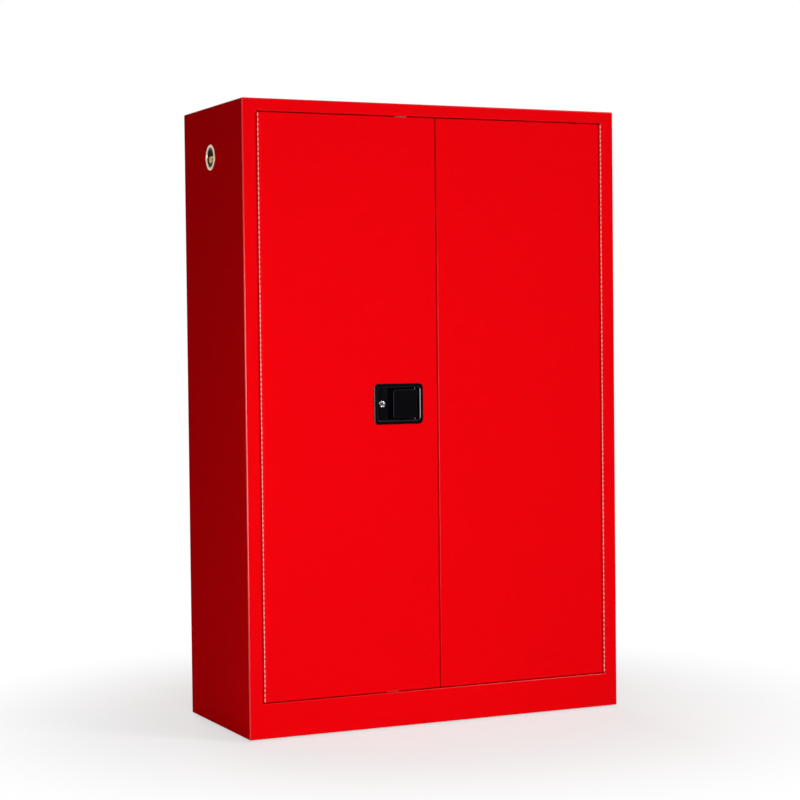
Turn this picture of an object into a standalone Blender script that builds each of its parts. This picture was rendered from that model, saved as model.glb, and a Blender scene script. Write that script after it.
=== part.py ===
"""Explosion-proof storage cabinet: a double-walled steel box with two doors on piano hinges.

All sizes are in metres, +Z is up and the doors face -Y. The origin lies on the floor,
under the middle of the body. Each piece is its own object, and each moving piece hangs
under an empty that stands on its joint's axis.
"""

import math

import bmesh
import bpy
from mathutils import Matrix, Vector

# Body
CABINET_HEIGHT = 1.650
CABINET_WIDTH = 1.090
CABINET_DEPTH = 0.450
FLOOR_CLEARANCE = 0.005
SHEET = 0.0012
AIR_SPACE = 0.038
BODY_BEND = 0.003
BASE_FLANGE = 0.020
BACK_FLANGE = 0.015
FLOOR_FLANGE = 0.015
LINER_BEND = 0.003

# Face frame and door opening
STILE_FACE = 0.038
HEADER_FACE = 0.032
BASE_FACE = 0.091
JAMB_BEND = 0.0015
STOP_WIDTH = 0.020
SEAL_THICKNESS = 0.0024
SEAL_WIDTH = 0.014
SEAL_EDGE_MARGIN = 0.002

# Doors
DOOR_THICKNESS = 0.038
DOOR_HEAD_GAP = 0.003
DOOR_SILL_GAP = 0.003
DOOR_MEETING_GAP = 0.004
DOOR_BEND = 0.002
DOOR_PAN_FLANGE = 0.008

# Piano hinge
BARREL_RADIUS = 0.0035
BARREL_PROUD = 0.0025
LEAF_THICKNESS = 0.0015
LEAF_WIDTH = 0.027
LEAF_NECK = 0.0042
KNUCKLE_SPACING = 0.030
KNUCKLE_GAP = 0.0003
BARREL_FACETS = 7
HINGE_PIN_RADIUS = 0.0013
HINGE_BORE_SIDES = 4
PIN_END = 0.0012

# Spill tray, inside the bottom of the liner
TRAY_DEPTH = 0.051
TRAY_FLOOR_HEIGHT = 0.067
TRAY_HEM = 0.008

# Shelves and what carries them
LOWER_SHELF_SLOT = 6
UPPER_SHELF_SLOT = 13
SHELF_EDGE = 0.030
SHELF_LIP = 0.014
SHELF_BEND = 0.002
SHELF_FRONT_SETBACK = 0.015
SHELF_BACK_SETBACK = 0.008
RAIL_WIDTH = 0.026
RAIL_STAND = 0.010
RAIL_FOOT_HEIGHT = 0.160
RAIL_HEAD_GAP = 0.1308
RAIL_SETBACK = 0.045
SHELF_SIDE_PLAY = 0.0005
FIRST_SLOT = 0.030
SLOT_SPACING = 0.070
SLOT_WIDTH = 0.014
SLOT_HEIGHT = 0.008
HOOK_WIDTH = 0.012
HOOK_PLATE = 0.002
HOOK_REACH = 0.016
HOOK_DROP = 0.009
HOOK_STEM = 0.020

# Vents: one high on the left side, one low on the right side
UPPER_VENT_FROM_TOP = 0.134
LOWER_VENT_HEIGHT = 0.170
VENT_SETBACK = 0.236
VENT_FLANGE_RADIUS = 0.034
VENT_FLANGE = 0.003
VENT_TUBE_RADIUS = 0.029
VENT_BORE_RADIUS = 0.0265
VENT_SHOULDER_RADIUS = 0.0235
VENT_SHOULDER = 0.002
BUNG_LENGTH = 0.018
BUNG_CUP_RADIUS = 0.0205
BUNG_CUP_DEPTH = 0.013
BUNG_INSET = 0.0015
BUNG_BAR_WIDTH = 0.007
BUNG_BAR_INSET = 0.003
SCREEN_THICKNESS = 0.002
SCREEN_HOLE_RADIUS = 0.0036
SCREEN_RING_RADII = (0.0095, 0.0190)
SCREEN_RING_COUNTS = (6, 12)
SCREEN_HOLE_SIDES = 4
TURNED_STEPS = 24

# Levelling feet
FOOT_INSET_X = 0.052
FOOT_INSET_Y = 0.052
FOOT_RADIUS = 0.018
FOOT_TOP_RADIUS = 0.013
FOOT_RIM = 0.004
FOOT_PAD = 0.010
STEM_RADIUS = 0.005
STEM_TOP_HEIGHT = 0.056
WELD_NUT_RADIUS = 0.010
WELD_NUT_HEIGHT = 0.010
FOOT_SIDES = 12

# Earthing stud, low on the right side
EARTH_HEIGHT = 0.075
EARTH_SETBACK = 0.236
EARTH_STUD_RADIUS = 0.004
EARTH_STUD_OUT = 0.009
EARTH_STUD_IN = 0.006
EARTH_HEAD_RADIUS = 0.0075
EARTH_HEAD = 0.0045
EARTH_HEAD_SIDES = 6

# Paddle handle, on the left door
HANDLE_X = -0.115
HANDLE_HEIGHT = 0.860
BEZEL_WIDTH = 0.142
BEZEL_TALL = 0.108
BEZEL_CORNER = 0.012
BEZEL_THICKNESS = 0.0022
CUP_WIDTH = 0.124
CUP_TALL = 0.088
CUP_CORNER = 0.008
CUP_DEPTH = 0.0195
CUP_WALL = 0.002
CUP_PLAY = 0.0005
KEY_LEDGE_WIDTH = 0.029
KEY_LEDGE_INSET = 0.0035
PADDLE_WIDTH = 0.070
PADDLE_TALL = 0.076
PADDLE_THICKNESS = 0.004
PADDLE_CORNER = 0.005
PADDLE_SIDE_PLAY = 0.0015
PADDLE_PROUD = 0.0018
PADDLE_LIP = 0.005
PADDLE_LIP_THICKNESS = 0.003
PADDLE_LIP_INSET = 0.0006
PADDLE_TRAVEL = math.radians(30.0)
PADDLE_AXIS_INSET = 0.0055
PADDLE_AXIS_FROM_EDGE = 0.0045
PADDLE_BARREL_RADIUS = 0.0045
PADDLE_PIN_RADIUS = 0.0016
TAIL_THICKNESS = 0.003
TAIL_TALL = 0.010
TAIL_PAST_BOLT = 0.0045
PIN_SIDES = 8

# Key cylinder
KEY_FROM_CENTRE = 0.047
CYLINDER_RADIUS = 0.0078
CYLINDER_RIM_RADIUS = 0.0090
CYLINDER_RIM = 0.0014
PLUG_RADIUS = 0.0055
PLUG_PROUD = 0.0006
KEYWAY_WIDTH = 0.0014
KEYWAY_TALL = 0.0070
KEYWAY_DEPTH = 0.009
KEY_CAM_LENGTH = 0.014
KEY_CAM_WIDTH = 0.009
KEY_CAM_THICKNESS = 0.002
KEY_CAM_GAP = 0.0006
KEY_SIDES = 16

# Three-point latch, inside the left door
LATCH_LAYER_INSET = 0.0255
LATCH_PLATE = 0.0025
ROTOR_CRANK = 0.020
ROTOR_RADIUS = 0.026
ROTOR_PLAY = 0.0008
CRANK_PIN_RADIUS = 0.0025
CRANK_PIN_PAST_BOLT = 0.001
CRANK_PLAY = 0.0007
HUB_RADIUS = 0.004
HUB_PAST_ROTOR = 0.001
LOCK_PLATE_THICKNESS = 0.0015
LOCK_PLATE_WIDTH = 0.076
LOCK_PLATE_TALL = 0.080
ROD_RADIUS = 0.004
ROD_TIP_PROUD = 0.0008
ROD_NOSE = 0.004
ROD_NOSE_RADIUS = 0.0022
EYE_MARGIN = 0.003
ROD_SIDES = 8
BOLT_TALL = 0.020
BOLT_END_PAST_PIN = 0.0055
BOLT_TIP_SETBACK = 0.0002
BOLT_CORNER = 0.002
BOLT_LAYER_GAP = 0.0004
BOLT_HOLE_PLAY = 0.0008
TAIL_SLOT_PLAY = 0.0017
GUIDE_WIDTH = 0.026
GUIDE_THICKNESS = 0.002
GUIDE_FOOT = 0.014
GUIDE_PAST_ROD = 0.004
ROD_GUIDE_FROM_EDGE = 0.054
BOLT_GUIDE_FROM_EDGE = 0.026
SPRING_COILS = 6
SPRING_WIRE_RADIUS = 0.0008
SPRING_RADIUS = 0.0060
SPRING_LENGTH = 0.036
SPRING_POINTS = 9
COLLAR_RADIUS = 0.0075
COLLAR_LENGTH = 0.004

# Strikes
STRIKE_THICKNESS = 0.0012
STRIKE_WIDTH = 0.034
STRIKE_LENGTH = 0.026
STRIKE_BORE_PLAY = 0.0012
CENTRE_STRIKE_TALL = 0.050
CENTRE_STRIKE_FRONT = 0.012

# Clearances and overruns
SEAT_GAP = 0.0003
CUT_OVERRUN = 0.002
WELD_OVERLAP = 0.001
CORNER_SEGMENTS = 3
SHARP_ANGLE = math.radians(35.0)
MERGE_DISTANCE = 0.00001

# Places worked out from the sizes above
FRONT_Y = -CABINET_DEPTH / 2
BACK_Y = CABINET_DEPTH / 2
SIDE_X = CABINET_WIDTH / 2
OPENING_X = SIDE_X - STILE_FACE
OPENING_BOTTOM = FLOOR_CLEARANCE + BASE_FACE
OPENING_TOP = CABINET_HEIGHT - HEADER_FACE
DOOR_BACK_Y = FRONT_Y + DOOR_THICKNESS
DOOR_BOTTOM = OPENING_BOTTOM + DOOR_SILL_GAP
DOOR_TOP = OPENING_TOP - DOOR_HEAD_GAP
STOP_Y = DOOR_BACK_Y + SEAT_GAP + SEAL_THICKNESS + SEAT_GAP
HINGE_X = OPENING_X - SEAT_GAP - BARREL_RADIUS
HINGE_Y = FRONT_Y - BARREL_PROUD
DOOR_EDGE_X = HINGE_X - BARREL_RADIUS - SEAT_GAP
DOOR_MEET_X = DOOR_MEETING_GAP / 2
LINER_X = SIDE_X - SHEET - AIR_SPACE
LINER_FRONT_Y = STOP_Y + SHEET + SEAT_GAP
LINER_BACK_Y = BACK_Y - SHEET - AIR_SPACE
LINER_TOP = CABINET_HEIGHT - SHEET - AIR_SPACE
LINER_BOTTOM = TRAY_FLOOR_HEIGHT - SHEET - SEAT_GAP - SHEET
FLOOR_PANEL_TOP = LINER_BOTTOM - AIR_SPACE
RAIL_X = LINER_X - SHEET - SEAT_GAP
RAIL_HEAD_HEIGHT = LINER_TOP - RAIL_HEAD_GAP
SLOT_COUNT = int((RAIL_HEAD_HEIGHT - RAIL_FOOT_HEIGHT - FIRST_SLOT) / SLOT_SPACING)
RAIL_FACE_X = RAIL_X - RAIL_STAND
SHELF_X = RAIL_FACE_X - SEAT_GAP - HOOK_PLATE - SHELF_SIDE_PLAY
SHELF_FRONT_Y = LINER_FRONT_Y + SHELF_FRONT_SETBACK
SHELF_BACK_Y = LINER_BACK_Y - SHEET - SHELF_BACK_SETBACK
VENT_Y = FRONT_Y + VENT_SETBACK
UPPER_VENT_HEIGHT = CABINET_HEIGHT - UPPER_VENT_FROM_TOP
EARTH_Y = FRONT_Y + EARTH_SETBACK
LATCH_Y = FRONT_Y + LATCH_LAYER_INSET
DOOR_PAN_FRONT_Y = DOOR_BACK_Y - SHEET
LOCK_PLATE_Y = DOOR_PAN_FRONT_Y - SEAT_GAP
ROD_EYE_FRONT_Y = LATCH_Y - LATCH_PLATE / 2
BOLT_Y = ROD_EYE_FRONT_Y - BOLT_LAYER_GAP - LATCH_PLATE / 2
ROTOR_FRONT_Y = LATCH_Y + ROD_RADIUS + ROTOR_PLAY
ROTOR_BACK_Y = ROTOR_FRONT_Y + LATCH_PLATE
CUP_BACK_Y = FRONT_Y + CUP_DEPTH
BEZEL_FRONT_Y = FRONT_Y - SEAT_GAP - BEZEL_THICKNESS
POCKET_HALF_WIDTH = CUP_WIDTH / 2 - CUP_WALL
POCKET_HALF_TALL = CUP_TALL / 2 - CUP_WALL
PADDLE_RIGHT_X = HANDLE_X + POCKET_HALF_WIDTH - PADDLE_SIDE_PLAY - PADDLE_AXIS_FROM_EDGE
PADDLE_LEFT_X = PADDLE_RIGHT_X - PADDLE_WIDTH
PADDLE_AXIS_X = PADDLE_RIGHT_X - PADDLE_AXIS_FROM_EDGE
PADDLE_AXIS_Y = FRONT_Y + PADDLE_AXIS_INSET
KEY_X = HANDLE_X - KEY_FROM_CENTRE
KEY_LEDGE_Y = FRONT_Y + KEY_LEDGE_INSET
BOLT_HEIGHT = HANDLE_HEIGHT - ROTOR_CRANK
BOLT_TRAVEL = (BOLT_Y - PADDLE_AXIS_Y) * math.tan(PADDLE_TRAVEL)
ROTOR_TRAVEL = math.asin(BOLT_TRAVEL / ROTOR_CRANK)
CRANK_SHIFT = ROTOR_CRANK * (1 - math.cos(ROTOR_TRAVEL))
UPPER_ROD_X = HANDLE_X + ROTOR_CRANK
LOWER_ROD_X = HANDLE_X - ROTOR_CRANK

# Finishes: linear base colour, roughness, metallic
RED_POWDER_COAT = ((0.80, 0.002, 0.004), 0.38, 0.0)
BLACK_PLASTIC = ((0.010, 0.010, 0.012), 0.42, 0.0)
ZINC_PLATE = ((0.62, 0.63, 0.64), 0.38, 1.0)
GALVANISED = ((0.55, 0.57, 0.58), 0.45, 1.0)
CHROME = ((0.80, 0.80, 0.80), 0.12, 1.0)
BRASS = ((0.72, 0.55, 0.26), 0.30, 1.0)
GREY_SEAL = ((0.06, 0.06, 0.065), 0.85, 0.0)
SPRING_STEEL = ((0.35, 0.35, 0.36), 0.30, 1.0)

PARTS = "explosion_proof_cabinet"
CUTTERS = "cutters"


def clear_scene():
    """Empties the scene and makes the two collections."""
    for old in list(bpy.data.objects):
        bpy.data.objects.remove(old, do_unlink=True)
    for name in (PARTS, CUTTERS):
        collection = bpy.data.collections.new(name)
        bpy.context.scene.collection.children.link(collection)


def link(obj, collection_name):
    """Puts an object in one of the two collections."""
    bpy.data.collections[collection_name].objects.link(obj)
    return obj


def object_from(bm, name, location):
    """Makes an object of a bmesh that was built around its own origin."""
    mesh = bpy.data.meshes.new(name)
    bm.normal_update()
    bm.to_mesh(mesh)
    bm.free()
    obj = bpy.data.objects.new(name, mesh)
    obj.location = location
    return link(obj, PARTS)


def finish(obj, look):
    """Gives an object its own material."""
    colour, roughness, metallic = look
    material = bpy.data.materials.new(obj.name + "_finish")
    material.use_nodes = True
    shader = material.node_tree.nodes["Principled BSDF"]
    shader.inputs["Base Color"].default_value = (*colour, 1.0)
    shader.inputs["Roughness"].default_value = roughness
    shader.inputs["Metallic"].default_value = metallic
    obj.data.materials.append(material)
    return obj


def shade_round(obj):
    """Smooth shading, with the sharp edges kept."""
    obj.data.shade_smooth()
    obj.data.set_sharp_from_angle(angle=SHARP_ANGLE)
    return obj


def direction(side):
    """The unit vector of an axis name such as -Y."""
    vector = Vector((0, 0, 0))
    vector["XYZ".index(side[1])] = -1.0 if side[0] == "-" else 1.0
    return vector


def axis_turn(side):
    """The rotation that lays +Z along an axis name such as -Y."""
    return Vector((0, 0, 1)).rotation_difference(direction(side)).to_matrix().to_4x4()


def clear_radius(radius, sides, play=SEAT_GAP):
    """The radius of a faceted hole that clears a round bar all round."""
    return (radius + play) / math.cos(math.pi / sides)


def cube_bmesh(size):
    """A cube scaled to a size, centred on the origin."""
    bm = bmesh.new()
    bmesh.ops.create_cube(bm, size=1.0)
    bmesh.ops.scale(bm, vec=Vector(size), verts=bm.verts)
    return bm


def middle_and_size(low, high):
    """A box's centre and its size, from two corners."""
    low, high = Vector(low), Vector(high)
    return (low + high) / 2, high - low


def box(name, low, high):
    """A rectangular block between two corners."""
    middle, size = middle_and_size(low, high)
    return object_from(cube_bmesh(size), name, middle)


def rounded_box(name, low, high, radius, axis, segments=CORNER_SEGMENTS):
    """A block whose four edges along one axis are rounded."""
    middle, size = middle_and_size(low, high)
    bm = cube_bmesh(size)
    along = "XYZ".index(axis)
    edges = [e for e in bm.edges if abs((e.verts[0].co - e.verts[1].co)[along]) > size[along] / 2]
    bmesh.ops.bevel(bm, geom=edges, offset=radius, segments=segments, profile=0.5, affect="EDGES")
    return shade_round(object_from(bm, name, middle))


def cylinder(name, radius, start, end, sides, end_radius=None):
    """A round bar, or a cone, between two points on a line along X, Y or Z."""
    start, end = Vector(start), Vector(end)
    run = end - start
    bm = bmesh.new()
    bmesh.ops.create_cone(bm, cap_ends=True, segments=sides, radius1=radius,
                          radius2=radius if end_radius is None else end_radius, depth=run.length)
    turn = Vector((0, 0, 1)).rotation_difference(run).to_matrix()
    bmesh.ops.rotate(bm, matrix=turn, verts=bm.verts)
    return shade_round(object_from(bm, name, (start + end) / 2))


def flat_outline(name, outlines, thickness, location, axis):
    """A flat plate from closed outlines, its thickness centred on the location."""
    curve = bpy.data.curves.new(name, "CURVE")
    curve.dimensions = "2D"
    curve.fill_mode = "BOTH"
    curve.extrude = thickness / 2
    for outline in outlines:
        spline = curve.splines.new("POLY")
        spline.points.add(len(outline) - 1)
        for point, (u, v) in zip(spline.points, outline):
            point.co = (u, v, 0.0, 1.0)
        spline.use_cyclic_u = True
    return mesh_of_curve(curve, name, location, axis_turn(axis))


def mesh_of_curve(curve, name, location, turn):
    """Turns a curve into a welded mesh object and removes the curve."""
    guide = bpy.data.objects.new(name + "_curve", curve)
    bpy.context.scene.collection.objects.link(guide)
    evaluated = guide.evaluated_get(bpy.context.evaluated_depsgraph_get())
    mesh = bpy.data.meshes.new_from_object(evaluated)
    bpy.data.objects.remove(guide, do_unlink=True)
    bm = bmesh.new()
    bm.from_mesh(mesh)
    bpy.data.meshes.remove(mesh)
    bmesh.ops.remove_doubles(bm, verts=bm.verts, dist=MERGE_DISTANCE)
    bmesh.ops.transform(bm, matrix=turn, verts=bm.verts)
    bmesh.ops.recalc_face_normals(bm, faces=bm.faces)
    return object_from(bm, name, location)


def circle_points(radius, sides, start=0.0):
    """Points on a circle, anticlockwise from an angle."""
    step = 2 * math.pi / sides
    return [(radius * math.cos(start + i * step), radius * math.sin(start + i * step)) for i in range(sides)]


def turned(name, profile, location, axis, steps=TURNED_STEPS):
    """A turned piece: a profile of (radius, height) points, down its outer side, swept round."""
    bm = bmesh.new()
    points = [bm.verts.new((radius, 0.0, height)) for radius, height in profile]
    closed = min(radius for radius, _ in profile) > 0
    for first, second in zip(points, points[1:] + points[:1] if closed else points[1:]):
        bm.edges.new((first, second))
    obj = object_from(bm, name, location)
    obj.rotation_euler = axis_turn(axis).to_euler()
    screw = obj.modifiers.new("turn", "SCREW")
    screw.axis = "Z"
    screw.steps = steps
    screw.render_steps = steps
    screw.use_merge_vertices = True
    screw.merge_threshold = MERGE_DISTANCE
    screw.use_smooth_shade = True
    return obj


def folded_sheet(name, low, high, open_sides, bend=0.0, bend_segments=2, lip=0.0, sheet=SHEET):
    """A box of sheet metal with open sides, its outer faces on the two corners.

    open_sides are axis names such as "+Y". A lip turns inwards round the first open side.
    """
    middle, size = middle_and_size(low, high)
    bm = cube_bmesh(size)
    bm.normal_update()
    directions = [direction(side) for side in open_sides]
    away = [f for f in bm.faces if any(f.normal.dot(d) > 0.9 for d in directions)]
    bmesh.ops.delete(bm, geom=away, context="FACES")
    if lip:
        turn_lip(bm, directions[0], lip)
    if bend:
        folds = [e for e in bm.edges if len(e.link_faces) == 2 and not is_lip_fold(e, directions[0])]
        bmesh.ops.bevel(bm, geom=folds, offset=bend, segments=bend_segments, profile=0.5, affect="EDGES")
    obj = object_from(bm, name, middle)
    thicken(obj, sheet)
    return obj


def is_lip_fold(edge, normal):
    """Whether an edge is where a lip folds in, or lies in the lip."""
    return any(face.normal.dot(normal) > 0.9 for face in edge.link_faces)


def turn_lip(bm, normal, width):
    """Turns the sheet inwards round an open side."""
    rim = [e for e in bm.edges if e.is_boundary and all(v.co.dot(normal) > 0 for v in e.verts)]
    grown = bmesh.ops.extrude_edge_only(bm, edges=rim)["geom"]
    for vert in (g for g in grown if isinstance(g, bmesh.types.BMVert)):
        for k in range(3):
            if abs(normal[k]) < 0.5:
                vert.co[k] -= math.copysign(width, vert.co[k])
    bm.normal_update()


def thicken(obj, sheet):
    """Gives an open surface its sheet thickness, inwards."""
    solid = obj.modifiers.new("sheet", "SOLIDIFY")
    solid.thickness = sheet
    solid.offset = -1.0
    solid.use_even_offset = True
    return obj


def cut(obj, *cutters):
    """Cuts tools out of an object."""
    for cutter in cutters:
        combine(obj, cutter, "DIFFERENCE")
    return obj


def join(obj, *others):
    """Welds other solids onto an object."""
    for other in others:
        combine(obj, other, "UNION")
    return obj


def combine(obj, tool, operation):
    """Adds a Boolean modifier and puts its tool among the cutters."""
    bpy.data.collections[PARTS].objects.unlink(tool)
    link(tool, CUTTERS)
    tool.display_type = "WIRE"
    tool.hide_render = True
    modifier = obj.modifiers.new(operation.lower(), "BOOLEAN")
    modifier.operation = operation
    modifier.solver = "EXACT"
    modifier.object = tool


def repeat(obj, count, step):
    """Repeats an object's solid along a step, as separate solids."""
    array = obj.modifiers.new("repeat", "ARRAY")
    array.count = count
    array.use_relative_offset = False
    array.use_constant_offset = True
    array.constant_offset_displace = step
    return obj


def pivot(name, location, parent=None):
    """An empty on a joint's axis."""
    empty = bpy.data.objects.new(name, None)
    empty.empty_display_size = LEAF_WIDTH
    empty.location = location
    link(empty, PARTS)
    return carry(empty, parent)


def carry(obj, parent):
    """Hangs an object under a parent, leaving it where it is."""
    if parent is not None:
        bpy.context.view_layer.update()
        obj.parent = parent
        obj.matrix_parent_inverse = parent.matrix_world.inverted()
    return obj


def build_outer_shell():
    """Sides, top, face frame, jambs and door stop, folded from one skin, open behind and below."""
    middle, size = middle_and_size((-SIDE_X, FRONT_Y, FLOOR_CLEARANCE), (SIDE_X, BACK_Y, CABINET_HEIGHT))
    bm = cube_bmesh(size)
    bm.normal_update()
    away = [f for f in bm.faces if f.normal.y > 0.9 or f.normal.z < -0.9]
    bmesh.ops.delete(bm, geom=away, context="FACES")
    turn_base_flange(bm)
    folds = [e for e in bm.edges if len(e.link_faces) == 2 and e.calc_face_angle() > SHARP_ANGLE]
    bmesh.ops.bevel(bm, geom=folds, offset=BODY_BEND, segments=CORNER_SEGMENTS, profile=0.5, affect="EDGES")
    open_doorway(bm, middle.z)
    obj = object_from(bm, "outer_shell", middle)
    thicken(obj, SHEET)
    cut(obj, vent_hole("shell", -1, UPPER_VENT_HEIGHT), vent_hole("shell", 1, LOWER_VENT_HEIGHT), earth_hole())
    cut(obj, bolt_hole("header", UPPER_ROD_X, OPENING_TOP), bolt_hole("sill", LOWER_ROD_X, OPENING_BOTTOM))
    return finish(obj, RED_POWDER_COAT)


def turn_base_flange(bm):
    """Folds a flange inwards along the bottom of the sides and the front."""
    rim = [e for e in bm.edges if e.is_boundary and all(v.co.z < 0 for v in e.verts)]
    grown = bmesh.ops.extrude_edge_only(bm, edges=rim)["geom"]
    for vert in (g for g in grown if isinstance(g, bmesh.types.BMVert)):
        vert.co.x -= math.copysign(BASE_FLANGE, vert.co.x)
        vert.co.y += BASE_FLANGE if vert.co.y < 0 else 0.0
    bm.normal_update()


def open_doorway(bm, middle_z):
    """Opens the front for the doors, and folds the jambs and the door stop behind it."""
    bm.normal_update()
    front = min(bm.faces, key=lambda f: f.calc_center_median().y)
    bmesh.ops.inset_individual(bm, faces=[front], thickness=HEADER_FACE)
    for vert in front.verts:
        vert.co.x = math.copysign(OPENING_X, vert.co.x)
        vert.co.z = (OPENING_TOP if vert.co.z > 0 else OPENING_BOTTOM) - middle_z
    rim = list(front.edges)
    grown = bmesh.ops.extrude_face_region(bm, geom=[front])["geom"]
    stop = next(g for g in grown if isinstance(g, bmesh.types.BMFace))
    bmesh.ops.delete(bm, geom=[front], context="FACES_ONLY")
    bmesh.ops.translate(bm, vec=(0, STOP_Y - FRONT_Y, 0), verts=stop.verts)
    bmesh.ops.inset_individual(bm, faces=[stop], thickness=STOP_WIDTH)
    bmesh.ops.delete(bm, geom=[stop], context="FACES")
    rim = [e for e in rim if e.is_valid]
    bmesh.ops.bevel(bm, geom=rim, offset=JAMB_BEND, segments=2, profile=0.5, affect="EDGES")


def vent_hole(wall, side, height):
    """The hole for a vent through one of the two side walls."""
    radius = clear_radius(VENT_TUBE_RADIUS, TURNED_STEPS)
    inner = (side * (LINER_X - SHEET - CUT_OVERRUN), VENT_Y, height)
    outer = (side * (SIDE_X + CUT_OVERRUN), VENT_Y, height)
    if wall == "shell":
        inner = (side * (SIDE_X - SHEET - CUT_OVERRUN), VENT_Y, height)
    else:
        outer = (side * (LINER_X + CUT_OVERRUN), VENT_Y, height)
    return cylinder(f"{wall}_vent_hole_{round(height * 1000)}", radius, inner, outer, TURNED_STEPS)


def earth_hole():
    """The hole for the earthing stud."""
    radius = clear_radius(EARTH_STUD_RADIUS, PIN_SIDES)
    start = (SIDE_X - SHEET - CUT_OVERRUN, EARTH_Y, EARTH_HEIGHT)
    return cylinder("earth_hole", radius, start, (SIDE_X + CUT_OVERRUN, EARTH_Y, EARTH_HEIGHT), PIN_SIDES)


def bolt_hole(name, x, edge):
    """A rod's hole through the header or the sill of the doorway."""
    radius = clear_radius(ROD_RADIUS, ROD_SIDES, STRIKE_BORE_PLAY)
    reach = SHEET + CUT_OVERRUN
    return cylinder(f"{name}_bolt_hole", radius, (x, LATCH_Y, edge - reach), (x, LATCH_Y, edge + reach), ROD_SIDES)


def build_back_panel():
    """The back, a shallow pan that fits between the sides."""
    inset = SHEET + SEAT_GAP
    low = (-SIDE_X + inset, BACK_Y - BACK_FLANGE, FLOOR_CLEARANCE + inset)
    high = (SIDE_X - inset, BACK_Y, CABINET_HEIGHT - inset)
    return finish(folded_sheet("back_panel", low, high, ["-Y"], BODY_BEND), RED_POWDER_COAT)


def build_floor_panel():
    """The outer floor, a pan with its flanges down and a welded nut at each foot."""
    inset = SHEET + SEAT_GAP
    low = (-SIDE_X + inset, FRONT_Y + inset, FLOOR_PANEL_TOP - FLOOR_FLANGE)
    high = (SIDE_X - inset, BACK_Y - BACK_FLANGE - SEAT_GAP, FLOOR_PANEL_TOP)
    obj = folded_sheet("floor_panel", low, high, ["-Z"], BODY_BEND)
    for name, x, y in foot_places():
        top = FLOOR_PANEL_TOP + WELD_NUT_HEIGHT
        bottom = FLOOR_PANEL_TOP - SHEET
        nut = cylinder(f"{name}_nut", WELD_NUT_RADIUS, (x, y, bottom + WELD_OVERLAP / 2), (x, y, top), FOOT_SIDES)
        radius = clear_radius(STEM_RADIUS, FOOT_SIDES)
        bore = cylinder(f"{name}_bore", radius, (x, y, bottom - CUT_OVERRUN), (x, y, top + CUT_OVERRUN), FOOT_SIDES)
        join(obj, nut)
        cut(obj, bore)
    return finish(obj, RED_POWDER_COAT)


def foot_places():
    """The four levelling feet: name, x and y."""
    x, y = SIDE_X - FOOT_INSET_X, BACK_Y - FOOT_INSET_Y
    return [("foot_left_front", -x, -y), ("foot_right_front", x, -y),
            ("foot_left_rear", -x, y), ("foot_right_rear", x, y)]


def build_feet():
    """Four levelling feet, each a pad and a threaded stem turned in one."""
    profile = [(0.0, STEM_TOP_HEIGHT), (STEM_RADIUS, STEM_TOP_HEIGHT), (STEM_RADIUS, FOOT_PAD),
               (FOOT_TOP_RADIUS, FOOT_PAD), (FOOT_RADIUS, FOOT_RIM), (FOOT_RADIUS, 0.0), (0.0, 0.0)]
    for name, x, y in foot_places():
        obj = turned(name, profile, (0, 0, 0), "+Z", FOOT_SIDES)
        obj.location = (x, y, 0.0)
        carry(finish(obj, ZINC_PLATE), pivot(f"{name}_axis", (x, y, 0.0)))


def build_inner_liner():
    """The inner box, open to the front, with its vent holes."""
    low = (-LINER_X, LINER_FRONT_Y, LINER_BOTTOM)
    high = (LINER_X, LINER_BACK_Y, LINER_TOP)
    obj = folded_sheet("inner_liner", low, high, ["-Y"], LINER_BEND)
    cut(obj, vent_hole("liner", -1, UPPER_VENT_HEIGHT), vent_hole("liner", 1, LOWER_VENT_HEIGHT))
    return finish(obj, RED_POWDER_COAT)


def build_spill_tray():
    """The leakproof tray in the bottom, with its rim turned in."""
    low = (-RAIL_X, LINER_FRONT_Y, TRAY_FLOOR_HEIGHT - SHEET)
    high = (RAIL_X, LINER_BACK_Y - SHEET - SEAT_GAP, TRAY_FLOOR_HEIGHT + TRAY_DEPTH)
    return finish(folded_sheet("spill_tray", low, high, ["+Z"], LINER_BEND, lip=TRAY_HEM), RED_POWDER_COAT)


def rail_rows():
    """The front and the rear row of shelf rails: name and y."""
    return [("front", SHELF_FRONT_Y + RAIL_SETBACK), ("rear", SHELF_BACK_Y - RAIL_SETBACK)]


def slot_bottom(index):
    """The height of a slot's lower edge."""
    return RAIL_FOOT_HEIGHT + FIRST_SLOT + index * SLOT_SPACING


def build_shelf_rails():
    """Four slotted channels on the liner's side walls."""
    for side_name, side in (("left", -1), ("right", 1)):
        for row, y in rail_rows():
            ends = sorted((side * RAIL_X, side * RAIL_FACE_X))
            low = (ends[0], y - RAIL_WIDTH / 2, RAIL_FOOT_HEIGHT)
            high = (ends[1], y + RAIL_WIDTH / 2, RAIL_HEAD_HEIGHT)
            wall = "-X" if side < 0 else "+X"
            name = f"shelf_rail_{side_name}_{row}"
            obj = folded_sheet(name, low, high, [wall, "+Z", "-Z"])
            face = sorted((side * (RAIL_FACE_X - CUT_OVERRUN), side * (RAIL_FACE_X + SHEET + CUT_OVERRUN)))
            slot_low = (face[0], y - SLOT_WIDTH / 2, slot_bottom(0))
            slot_high = (face[1], y + SLOT_WIDTH / 2, slot_bottom(0) + SLOT_HEIGHT)
            slots = repeat(box(f"{name}_slots", slot_low, slot_high), SLOT_COUNT, (0, 0, SLOT_SPACING))
            finish(cut(obj, slots), GALVANISED)


def hook_seat(slot):
    """The height at which a hook in a slot carries a shelf."""
    return slot_bottom(slot) + SEAT_GAP + HOOK_PLATE - HOOK_STEM


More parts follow.
